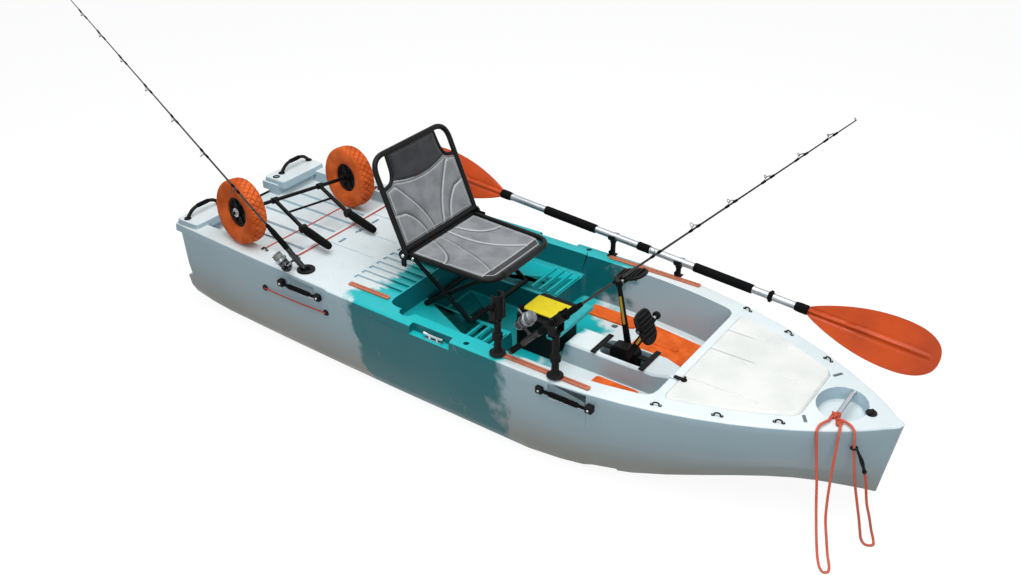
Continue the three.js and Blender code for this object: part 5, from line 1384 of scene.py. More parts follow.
@dataclass
class RodHolders:
    """Two posts on the starboard track, each with a swivelling cradle."""

    y: float = -0.42
    cradle: float = 0.02
    wall: float = 0.005
    half: float = 0.046
    play: float = 0.0003
    fork: float = 0.0253
    fork_wall: float = 0.007
    fork_half: float = 0.013
    ears: Pair = (236.0, -118.0)
    collar_ribs: int = 14
    knob: Profile = ((0.0, 0.0), (0.0088, 0.0), (0.009, 0.006), (0.0072, 0.0088), (0.0, 0.0088))
    foot: Profile = ((0.0, 0.0076), (0.03, 0.0076), (0.03, 0.0125), (0.026, 0.0148), (0.019, 0.017),
        (0.0155, 0.026), (0.0135, 0.034), (0.013, 0.066), (0.0182, 0.068), (0.0182, 0.092), (0.013, 0.0945))

    def build(self) -> None:
        """Makes both posts and both cradles."""
        rows = (("aft", 0.232, 0.608, 0.0, Body.AFT_HOLDER, Body.AFT_CRADLE),
            ("fore", 0.474, 0.640, 43.6, Body.FORE_HOLDER, Body.FORE_CRADLE))
        for end, x, pivot, tilt, holder, cradle in rows:
            self.post(end, x, pivot, holder)
            self.channel(end, x, pivot, tilt, cradle)

    def post(self, end: str, x: float, pivot: float, body: Body) -> None:
        """Makes one post with its flange, neck, locking collar, fork and screws."""
        lift = pivot - LINES.deck
        low = lift - hypot(self.half, self.cradle + self.wall) - self.play - self.fork_wall
        inner, outer, half = self.fork, self.fork + self.fork_wall, self.fork_half
        place = shift(x, self.y, LINES.deck)
        form, knobs = Form(place), Form(place)
        head = [(0.0125, low - 0.012), (0.0165, low - 0.003), (0.0165, low + 0.003), (0.0, low + 0.003)]
        form.turned([*self.foot, *head])
        form.studs(self.collar_ribs, 0.0178, (0.07, 0.09), 0.0018)
        form.block((-half, -outer, low), (half, outer, low + self.fork_wall))
        for side in (STARBOARD, PORT):
            a, b = sorted((side * inner, side * outer))
            form.block((-half, a, low), (half, b, lift + 0.004))
            form.pole((0, side * inner, lift), (0, side * outer, lift), 0.0129)
            end_face = shift(0, side * outer, lift) @ outward(side)
            knobs.turned(self.knob, end_face, 24)
            knobs.studs(8, 0.0082, (0.001, 0.0072), 0.0016, place=end_face)
        form.settle(f"rod_post_{end}", body, Finishes.PLASTIC, (f"rod_holder_base_{end}",), bevel=0.0015)
        knobs.settle(f"rod_post_{end}_knobs", body, Finishes.RUBBER)

    def channel(self, end: str, x: float, pivot: float, tilt: float, body: Body) -> None:
        """Makes one open cradle with a thicker band at each end."""
        inner, outer, half = self.cradle, self.cradle + self.wall, self.half
        form = Form(shift(x, self.y, pivot) @ rotate(tilt, "Y"))
        low = [(inner, 0.002 - half), (inner + 0.0015, -half), (outer - 0.001, -half), (outer, 0.003 - half),
               (outer - 0.0012, 0.012 - half)]
        form.turned([*low, *[(r, -z) for r, z in reversed(low)]], None, 36, self.ears[0], True, self.ears[1])
        form.settle(f"rod_cradle_{end}", body, Finishes.PLASTIC, (f"rod_holder_cradle_{end}",), bevel=0.0006)


@dataclass
class RodAndReel:
    """One spinning rod: blank, guides, grips and reel, built along its own Z axis."""

    word: str
    place: Matrix
    reel_up: float
    hand: int
    rod: Body
    spool: Body
    crank: Body
    butt_low: float = -0.1737
    tip_z: float = 1.3663
    drop: float = -0.06
    seat_half: float = 0.05
    blank_low: float = 0.242
    butt_radius: float = 0.0045
    tip_radius: float = 0.0016
    guides: Profile = ((0.42, 0.0125), (0.6, 0.009), (0.77, 0.007), (0.92, 0.0055), (1.06, 0.0045),
        (1.18, 0.004), (1.28, 0.0035))
    guide_feet: Pair = (0.018, -0.014)
    butt_cap: Profile = ((0.0, 0.0), (0.0108, 0.0), (0.012, 0.003), (0.012, 0.013), (0.0112, 0.0145),
        (0.0, 0.0145))
    fore_taper: Profile = ((0.0112, 0.2), (0.008, 0.232), (0.0056, 0.24), (0.0, 0.24))
    reel_foot: Profile = ((0.034, 0.004), (0.026, 0.0065))
    foot_face: Pair = (-0.0125, -0.0095)
    rotor: Profile = ((0.0, 0.0), (0.0165, 0.0), (0.0185, 0.006), (0.0205, 0.013), (0.0205, 0.0262),
        (0.0188, 0.027), (0.0, 0.027))
    rotor_gap: float = 0.0275
    stem_shares: tuple[float, ...] = (1.25, 0.8, 0.9, 1.5)
    spool_shape: Profile = (
        (0.0, 0.0), (0.0225, 0.0), (0.0238, 0.002), (0.0238, 0.0125), (0.0215, 0.0145), (0.0165, 0.0155),
        (0.0165, 0.032), (0.0215, 0.0335), (0.0222, 0.0355), (0.019, 0.0375), (0.012, 0.0385),
        (0.011, 0.0395), (0.0, 0.0398),
    )
    wound: Profile = ((0.0165, 0.0158), (0.0195, 0.0162), (0.0202, 0.024), (0.0195, 0.0315), (0.0165, 0.0318))
    bail_radius: float = 0.0246
    bail_steps: int = 14
    crank_side: float = 0.0173
    crank_reach: float = 0.044
    knob: Profile = ((0.0, 0.0), (0.0045, 0.0), (0.0062, 0.003), (0.007, 0.011), (0.0088, 0.018),
        (0.0078, 0.0215), (0.0, 0.0222))

    def radius_at(self, z: float) -> float:
        """Radius of the blank at a height."""
        share = (z - self.blank_low) / (self.tip_z - self.blank_low)
        return self.butt_radius + (self.tip_radius - self.butt_radius) * min(max(share, 0.0), 1.0)

    def build(self) -> None:
        """Makes the rod and its reel."""
        blank = Form(self.place)
        taper = [(self.butt_radius, self.blank_low), (self.tip_radius, self.tip_z)]
        blank.turned([(0.0, 0.2), (0.0046, 0.2), *taper, (0.0, self.tip_z)], None, 16)
        blank.settle(f"{self.word}_rod_blank", self.rod, Finishes.ROD, (f"{self.word}_rod",))
        self.grips()
        self.rings()
        self.reel()
        self.spool_and_line()
        self.bail()
        self.handle()

    def grips(self) -> None:
        """Makes the butt cap, the split grip and the reel seat."""
        low, high, butt = self.reel_up - self.seat_half, self.reel_up + self.seat_half, self.butt_low
        foam, seat = Form(self.place), Form(self.place)
        butt_cap = [(r, butt + z) for r, z in self.butt_cap]
        butt_grip = [(0.0118, butt + 0.014), (0.0112, (butt + low) / 2), (0.0118, low - 0.002), (0.0105, low)]
        foam.turned([(0.0, butt + 0.014), *butt_grip, (0.0, low)])
        foam.turned([(0.0, high), (0.0105, high), (0.0119, high + 0.004), *self.fore_taper])
        seat.turned(butt_cap)
        seat.turned([(0.0, low - 0.0005), (0.0112, low - 0.0005), (0.0112, low + 0.008), (0.0098, low + 0.01),
            (0.0098, high - 0.018), (0.0115, high - 0.016), (0.0115, high), (0.0, high)])
        for k in range(7):
            seat.ring((0, 0, high - 0.036 + k * 0.0026), (0, 0, 1), 0.0099, 0.0007, 20)
        foam.settle(f"{self.word}_rod_grip", self.rod, Finishes.RUBBER, slot=Slot.ROD)
        seat.settle(f"{self.word}_reel_seat", self.rod, Finishes.ROD, bevel=0.0004)

    def rings(self) -> None:
        """Makes the line guides with their frames and whippings."""
        form, wraps = Form(self.place), Form(self.place)
        fore, aft = self.guide_feet
        for z, radius in self.guides:
            bare = self.radius_at(z)
            centre = Vector((-(bare + radius + 0.003), 0, z))
            form.ring(centre, (0.15, 0, 1), radius, 0.0009, 24)
            for side in (STARBOARD, PORT):
                foot = Vector((-bare, side * 0.0008, z + fore))
                hold = centre + Vector((radius * 0.3, side * radius * 0.95, 0))
                form.sweep([foot, (foot + hold) / 2 + Vector((-0.001, side * 0.001, 0)), hold], 0.0007,
                    rings=1)
            form.sweep([(-bare, 0, z + aft), centre + Vector((radius, 0, 0))], 0.0008, rings=1)
            band = [(bare + 0.0011, 0.006), (bare + 0.0002, 0.008), (0.0, 0.008)]
            for at in self.guide_feet:
                wraps.turned(both_ends(band), shift(0, 0, z + at), 14)
        form.ring((-0.0042, 0, self.tip_z - 0.001), (0.15, 0, 1), 0.003, 0.0007, 20)
        form.settle(f"{self.word}_rod_guides", self.rod, Finishes.ROD)
        wraps.settle(f"{self.word}_rod_whippings", self.rod, Finishes.RUBBER, slot=Slot.ROD)

    def reel(self) -> None:
        """Makes the reel's foot, stem, gearbox and rotor."""
        up, drop = self.reel_up, self.drop
        form, trim = Form(self.place), Form(self.place)
        quarter = list(self.reel_foot)
        half = [*[(-x, -y) for x, y in quarter], *[(x, -y) for x, y in reversed(quarter)]]
        flat = Matrix(((0, 0, 1, 0), (0, 1, 0, 0), (1, 0, 0, 0), (0, 0, 0, 1)))
        form.plate([*half, *[(-x, -y) for x, y in half]], *self.foot_face, shift(0, 0, up) @ flat)
        stem = [(-0.012, up), (-0.024, up + 0.002), (-0.042, up - 0.001), (drop + 0.008, up - 0.003)]
        form.sweep([(x, 0, z) for x, z in stem], 0.0056, self.stem_shares)
        form.ball((drop, 0, up - 0.002), (0.021, 0.0135, 0.0205))
        form.turned(self.rotor, shift(drop, 0, up))
        for side in (STARBOARD, PORT):
            form.pole((drop, side * 0.009, up), (drop, side * 0.017, up), 0.0195, 0.0165)
            trim.ring((drop, side * 0.0172, up), (0, 1, 0), 0.0145, 0.0009)
        trim.ring((drop, 0, up + 0.0145), (0, 0, 1), 0.0207, 0.0009)
        form.settle(f"{self.word}_reel_body", self.rod, Finishes.ROD, bevel=0.0012)
        trim.settle(f"{self.word}_reel_trim", self.rod, Finishes.REEL)

    def spool_spot(self) -> Matrix:
        """Foot of the spool in the rod's frame."""
        return shift(self.drop, 0, self.reel_up + self.rotor_gap)

    def spool_and_line(self) -> None:
        """Makes the ribbed spool and its wound line."""
        form, line = Form(self.place), Form(self.place)
        form.turned(self.spool_shape, self.spool_spot())
        form.studs(10, 0.0236, (0.003, 0.0115), 0.0011, 6, self.spool_spot())
        line.turned(self.wound, self.spool_spot())
        form.settle(f"{self.word}_spool", self.spool, Finishes.REEL, (f"{self.word}_reel_spool",))
        line.settle(f"{self.word}_spool_line", self.spool, Finishes.LINE)

    def bail(self) -> None:
        """Makes the wire bail that turns with the spool."""
        form, arc = Form(self.place), []
        for i in range(self.bail_steps + 1):
            angle = pi * i / self.bail_steps
            across, up = self.bail_radius * cos(angle), sin(angle)
            arc.append(self.spool_spot() @ Vector((across, self.bail_radius * up * 0.55, 0.006 + 0.032 * up)))
        form.sweep(arc, 0.0009)
        for end in (arc[0], arc[-1]):
            form.ball(end, (0.0016, 0.0022, 0.0036), 8)
        form.settle(f"{self.word}_bail", self.spool, Finishes.CHROME)

    def handle(self) -> None:
        """Makes the reel's crank arm and knob."""
        place = self.place @ shift(self.drop, self.hand * self.crank_side, self.reel_up) @ mirror(self.hand)
        arm, knob = Form(place), Form(place)
        end = -self.crank_reach
        arm.pole((0, 0, 0), (0, 0.015, 0), 0.0058)
        arm.sweep([(0.004, 0.0142, 0), (-0.012, 0.0147, 0), (-0.03, 0.0142, 0), (end, 0.0144, 0)], 0.0036,
            [1.3, 1.0, 0.85, 1.1])
        arm.pole((end, 0.0118, 0), (end, 0.0202, 0), 0.0034)
        knob.turned(self.knob, shift(end, 0.0165, 0) @ outward(PORT))
        arm.settle(f"{self.word}_crank_arm", self.crank, Finishes.REEL, (f"{self.word}_reel_handle",),
            slot=Slot.ROD)
        knob.settle(f"{self.word}_crank_knob", self.crank, Finishes.RUBBER, slot=Slot.ROD)


@dataclass
class Paddle:
    """The two-bladed paddle lying in its clips."""

    aft: Point = (-0.355, 0.44, 0.528)
    fore: Point = (1.04, 0.44, 0.43)
    shaft: float = 0.0148
    blade: float = 0.492
    blade_half: float = 0.096
    blade_rows: int = 64
    blade_columns: int = 28
    turn: float = 32.0
    throat: float = 0.16
    widest: float = 0.66
    tip_power: float = 2.4
    bowl: float = 0.0022
    blade_lift: float = 0.0027
    edge: Pair = (0.0055, 0.0037)
    rib_lift: float = 0.0068
    rib_width: float = 0.0055
    groove: Point = (0.011, 0.0034, 0.0034)
    throat_cap: Profile = ((0.0, 0.0), (0.017, 0.0), (0.019, 0.003), (0.019, 0.034), (0.0172, 0.05),
        (0.0152, 0.052))
    half_grip: Profile = ((0.0184, 0.12), (0.0176, 0.124), (0.0145, 0.125))
    grip_rings: int = 14
    half_drip: Profile = ((0.0238, 0.0), (0.0236, 0.0035), (0.0182, 0.004), (0.0175, 0.009), (0.0148, 0.009))
    drip_back: float = 0.15
    half_joint: Profile = ((0.0172, 0.026), (0.0148, 0.028))
    clips: tuple[tuple[str, float], ...] = (("aft", 0.2), ("fore", 0.5))
    clip_foot: Profile = ((0.0, 0.0), (0.0165, 0.0), (0.0165, 0.004), (0.013, 0.008), (0.0105, 0.011))
    clip_wall: Profile = ((0.0158, -0.0162), (0.0212, -0.0162), (0.0212, 0.0162), (0.0158, 0.0162))
    clip_sweep: Pair = (220.0, -110.0)
    clip_knob: Profile = ((0.0, 0.0), (0.0085, 0.0), (0.0098, 0.003), (0.0098, 0.009), (0.0075, 0.012),
        (0.0, 0.012))

    def frame(self) -> tuple[Matrix, float]:
        """The paddle's own frame, along the shaft, and the shaft's length."""
        a, b = Vector(self.aft), Vector(self.fore)
        pitch = atan2(a.z - b.z, b.x - a.x)
        return Matrix.Translation(a) @ Matrix.Rotation(pitch, 4, "Y"), (b - a).length

    def build(self) -> None:
        """Makes the shaft, grips, rings, both blades and both clips."""
        place, length = self.frame()
        shaft = Form(place)
        shaft.pole((0.002, 0, 0), (length - 0.002, 0, 0), self.shaft, sides=36)
        shaft.settle("paddle_tube", Body.PADDLE, Finishes.SHAFT, ("paddle_shaft",))
        self.grips(place, length)
        roll = rotate(90 - self.turn, "X")
        self.make_blade("fore", place @ shift(length + 0.0003) @ roll)
        self.make_blade("aft", place @ shift(-0.0003) @ roll @ rotate(180, "Y"))
        for end, x in self.clips:
            self.clip(end, x)

    def grips(self, place: Matrix, length: float) -> None:
        """Makes the black caps, the ribbed grips, the drip ring and the joint's sleeve."""
        black = Form(place)
        black.turned(self.throat_cap, ALONG_X)
        black.turned(self.throat_cap, shift(length) @ rotate(-90, "Y"))
        for middle in (length / 4, length * 3 / 4):
            black.turned(both_ends(self.half_grip), shift(middle) @ ALONG_X)
            for k in range(-self.grip_rings, self.grip_rings + 1):
                black.ring((middle + k * 0.008, 0, 0), (1, 0, 0), 0.0183, 0.0007, 20)
        black.turned(both_ends(self.half_drip), shift(length - self.drip_back) @ ALONG_X)
        black.turned(both_ends(self.half_joint), shift(length / 2) @ ALONG_X)
        black.settle("paddle_grips", Body.PADDLE, Finishes.RUBBER)

    def clip(self, end: str, x: float) -> None:
        """Makes one open clip on its post, with the base collar and the ball joint."""
        place, _ = self.frame()
        lean = atan2(place[0][2], place[0][0])
        height = self.aft[2] + (self.fore[2] - self.aft[2]) * (x - self.aft[0]) / (self.fore[0] - self.aft[0])
        base = LINES.deck + 0.0003
        top = height - 0.0185
        form, knob = Form(shift(x, self.aft[1])), Form(shift(x, self.aft[1]))
        socket = [(0.0105, top - 0.012), (0.0135, top - 0.009), (0.0135, top), (0.0, top + 0.001)]
        form.turned([*[(r, base + z) for r, z in self.clip_foot], *socket])
        form.block((-0.0162, -0.0205, base), (0.0162, 0.019, base + 0.0035))
        tip = shift(0, 0, height) @ Matrix.Rotation(-lean, 4, "Y") @ ALONG_X
        form.turned(self.clip_wall, tip, 36, self.clip_sweep[0], True, self.clip_sweep[1])
        knob.turned(self.clip_knob, shift(0, -0.0105, base + 0.02) @ outward(STARBOARD), 20)
        form.settle(f"paddle_clip_{end}_body", Body.HULL, Finishes.PLASTIC, (f"paddle_clip_{end}",),
            bevel=0.0012)
        knob.settle(f"paddle_clip_{end}_knob", Body.HULL, Finishes.RUBBER)

    def half_width(self, share: float) -> float:
        """Half width of the blade at a share of its length."""
        if share < self.widest:
            swell = sin(pi / 2 * share / self.widest) ** 0.85
            return self.blade_half * (self.throat + (1 - self.throat) * swell)
        along = min((share - self.widest) / (1 - self.widest), 1.0)
        return self.blade_half * max((1 - along ** self.tip_power) ** (1 / self.tip_power), 0.03)

    def rib(self, across: float, along: float) -> float:
        """Height of the blade's rib with its two side grooves at a place on its face."""
        fade = max(0.0, 1 - (along / 0.94) ** 6) ** 0.5
        off, width, depth = self.groove
        grooves = depth * exp(-((abs(across) - off) / width) ** 2)
        return (self.rib_lift * exp(-(across / self.rib_width) ** 2) - grooves) * fade

    def make_blade(self, word: str, place: Matrix) -> None:
        """Makes one spooned blade with its spine, from a grid."""
        form = Form(place)
        bmesh.ops.create_grid(form.bm, x_segments=self.blade_rows, y_segments=self.blade_columns, size=0.5)
        for vert in form.bm.verts:
            along, across = vert.co.x + 0.5, vert.co.y * 2
            eased = 0.5 - 0.5 * cos(pi * along) if along > 0.5 else along
            half = self.half_width(eased)
            bowl = self.bowl * (across * across - 0.3) * sin(pi * min(eased, 1.0))
            vert.co = Vector((self.blade * eased, half * across, self.rib(across * half, eased) + bowl))
        skin = bmesh.ops.extrude_face_region(form.bm, geom=list(form.bm.faces))
        middle, thinning = self.edge
        for item in skin["geom"]:
            if isinstance(item, bmesh.types.BMVert):
                along = item.co.x / self.blade
                rim = abs(item.co.y) / max(self.half_width(along), 0.001)
                item.co.z -= middle - thinning * rim ** 4 + 2 * self.rib(item.co.y, along)
        bmesh.ops.translate(form.bm, vec=(0, 0, self.blade_lift), verts=form.bm.verts)
        form.settle(f"paddle_blade_{word}_dressed", Body.PADDLE, Finishes.BLADE,
            (f"paddle_blade_{word}",), smooth=70.0)


@dataclass
class PedalDrive:
    """The fin drive: spine, two cranks with pedals, and the fins under the hull."""

    pivot: Point = (0.52, 0.0, 0.235)
    arm: float = 0.315
    arm_y: float = 0.038
    arm_half: float = 0.0035
    arm_foot: float = 0.0148
    arm_head: float = 0.0078
    eye: float = 0.0149
    pin: float = 0.0058
    along: float = 0.064
    across: float = 0.048
    corner_share: float = 0.8
    corner_steps: int = 6
    ribs: int = 6
    rib_pitch: float = 0.017
    rib_level: float = 0.008

    def build(self) -> None:
        """Makes the cranks and pedals and dresses the spine and fins."""
        dress_node("drive_spine", Finishes.PLASTIC, 0.002)
        dress_node("fin_fore", Finishes.RUBBER, 0.001)
        dress_node("fin_aft", Finishes.RUBBER, 0.001)
        self.crank("port", PORT, -12.0, Body.PORT_CRANK)
        self.crank("starboard", STARBOARD, 25.3, Body.STARBOARD_CRANK)
        self.pedal("port", (0.45451, 0.122, 0.54312), -20.0, Body.PORT_PEDAL)
        self.pedal("starboard", (0.65462, -0.122, 0.51979), 62.0, Body.STARBOARD_PEDAL)

    def crank(self, word: str, side: int, angle: float, body: Body) -> None:
        """Makes one pedal arm with its two eyes, edge ribs, pin and brass scale.

        Args:
            word: Port or starboard, in names.
            side: Port or starboard.
            angle: How far it leans fore, in degrees.
            body: The body that carries it.
        """
        place = Matrix.Translation(self.pivot) @ rotate(angle, "Y") @ mirror(side)
        form, metal, scale = Form(place), Form(place), Form(place)
        foot, head, tip = self.arm_foot, self.arm_head, self.arm
        form.plate([(-foot, 0.0), (foot, 0.0), (head, tip), (-head, tip)], -self.arm_half, self.arm_half,
            standing(self.arm_y))
        form.pole((0, 0.0305, 0), (0, 0.0448, 0), self.eye, sides=40)
        form.pole((0, 0.0345, tip), (0, 0.0448, tip), self.eye, sides=40)
        for edge in (-1, 1):
            outer = self.arm_y + self.arm_half
            form.sweep([(edge * 0.0125, outer, 0.014), (edge * 0.0064, outer, tip - 0.014)], 0.0022)
            face = sorted((self.arm_y + edge * 0.0032, self.arm_y + edge * 0.0046))
            scale.block((-0.005, face[0], 0.15), (0.005, face[1], 0.265))
        metal.pole((0, 0.044, tip), (0, 0.1755, tip), self.pin)
        metal.pole((0, 0.0445, 0), (0, 0.0485, 0), 0.0075, 0.006, 6)
        form.settle(f"pedal_crank_{word}", body, Finishes.PLASTIC, (f"pedal_arm_{word}",), bevel=0.0012,
            slot=Slot.DRIVE)
        metal.settle(f"pedal_crank_{word}_pin", body, Finishes.CHROME)
        scale.settle(f"pedal_crank_{word}_scale", body, Finishes.BRASS, bevel=0.0003)

    def pedal(self, word: str, spot: Point, tilt: float, body: Body) -> None:
        """Makes one broad ribbed pedal with its boss.

        Args:
            word: Port or starboard, in names.
            spot: Its axle's middle.
            tilt: Its turn about its axle, in degrees.
            body: The body that carries it.
        """
        place = Matrix.Translation(spot) @ rotate(tilt, "Y")
        form, boss = Form(place), Form(place)
        long, wide, share = self.along, self.across, self.corner_share
        corners = [(-long * share, -wide, 0), (long, -wide * share, 0), (long, wide * share, 0),
            (-long * share, wide, 0)]
        loop = rounded_path([*corners, *corners[:2]], wide * share, self.corner_steps)
        rim = loop[1:1 + 4 * (self.corner_steps + 1)]
        form.plate([(p.x, p.y) for p in rim], -0.004, 0.004)
        form.sweep(rim, 0.0068, closed=True)
        reach = wide * share
        for k in range(self.ribs):
            x = (k - (self.ribs - 1) / 2) * self.rib_pitch
            for level in (-self.rib_level, self.rib_level):
                bar = [(x, -reach, level * 0.6), (x, -reach * share, level), (x, reach * share, level),
                       (x, reach, level * 0.6)]
                form.sweep(rounded_path(bar, 0.004, 4), 0.0042)
        boss.turned([(0.0064, -wide), (0.0132, -wide), (0.0132, wide), (0.0064, wide)], outward(STARBOARD),
            closed=True)
        form.settle(f"pedal_pad_{word}", body, Finishes.PLASTIC, (f"pedal_{word}",), slot=Slot.DRIVE)
        boss.settle(f"pedal_boss_{word}", body, Finishes.RUBBER, bevel=0.001, slot=Slot.DRIVE)


@dataclass(frozen=True)
class Panel:
    """One quilted cloth panel of the seat.

    Its own map runs from -1 to 1 across and from 0 to 1 along.
    """

    name: str
    body: Body
    finish: Finish
    size: Pair
    rows: int
    columns: int
    swell: float
    curves: tuple[tuple[Pair, Pair, Pair], ...] = ()
    stands_for: tuple[str, ...] = ()
    dark_from: float = 2.0
    curve_steps: int = 40
    thickness: float = 0.0022
    pull: float = 0.009
    stitch: float = 0.0036
    rim_roll: float = 0.02
    hem: Pair = (0.007, 0.002)
    # Offsets and widths of the painted highlights along the hem, beside the seams and at the dark band.
    hem_highlight: Pair = (0.0115, 0.002)
    seam_highlight: Pair = (0.0066, 0.0024)
    dark_edge_highlight: float = 0.0022
    fill: float = 0.35

    def seams(self) -> list[Pair]:
        """Points along every sewn curve, on both sides of the middle."""
        points = []
        for (x0, y0), (x1, y1), (x2, y2) in self.curves:
            for i in range(self.curve_steps):
                t = i / (self.curve_steps - 1)
                points.append(((1 - t) ** 2 * x0 + 2 * t * (1 - t) * x1 + t * t * x2,
                    (1 - t) ** 2 * y0 + 2 * t * (1 - t) * y1 + t * t * y2))
        return points + [(-x, y) for x, y in points]

    def build(self, spot: Callable[[float, float, float], Vector]) -> None:
        """Makes the panel from a grid: quilted, mapped, thickened and set in its place.

        Args:
            spot: Place on the seat of a point across, along and out of the panel's face.
        """
        form = Form()
        bm = form.bm
        bmesh.ops.create_grid(bm, x_segments=self.columns, y_segments=self.rows, size=1.0)
        for vert in bm.verts:
            vert.co.y = (vert.co.y + 1) / 2
        self.sew(bm)
        uv = bm.loops.layers.uv.new("UVMap")
        for loop in (loop for face in bm.faces for loop in face.loops):
            loop[uv].uv = (loop.vert.co.x * self.size[0] / 2, loop.vert.co.y * self.size[1])
        skin = bmesh.ops.extrude_face_region(bm, geom=[*bm.faces])
        for item in skin["geom"]:
            if isinstance(item, bmesh.types.BMVert):
                item.co.z = -self.thickness
        for vert in bm.verts:
            vert.co = spot(*vert.co)
        made = form.settle(self.name, self.body, self.finish, self.stands_for, smooth=60)

    def sew(self, bm: bmesh.types.BMesh) -> None:
        """Raises the filling between the seams, and marks stitches and painted highlights in the panel's own
        masks.
        """
        sewn = bm.verts.layers.float.new("sewn")
        piping_highlight = bm.verts.layers.float.new("piping_highlight")
        wide, long = self.size[0] / 2, self.size[1]
        seams = self.seams()
        for vert in bm.verts:
            u, v = vert.co.x, vert.co.y
            near, seam_x = min(((hypot((u - x) * wide, (v - y) * long), x) for x, y in seams),
                default=(1.0, 0.0))
            beside = near if abs(u) > abs(seam_x) else 1.0
            rim = min((1 - abs(u)) * wide, v * long, (1 - v) * long)
            vert[sewn] = max(hump(near, self.stitch), 0.8 * hump(rim - self.hem[0], self.hem[1]),
                0.85 if v > self.dark_from else 0.0)
            # Painted highlight beside the seams, at the dark band and inside the hem.
            vert[piping_highlight] = max(hump(beside - self.seam_highlight[0], self.seam_highlight[1]),
                hump((v - self.dark_from) * long, self.dark_edge_highlight),
                0.8 * hump(rim - self.hem_highlight[0], self.hem_highlight[1]))
            low, edge = hump(near, self.pull), min(rim / self.rim_roll, 1.0)
            vert.co.z = self.swell * ((1 - 0.75 * low) * (1 - (1 - edge) ** 2) - 0.35 * low)


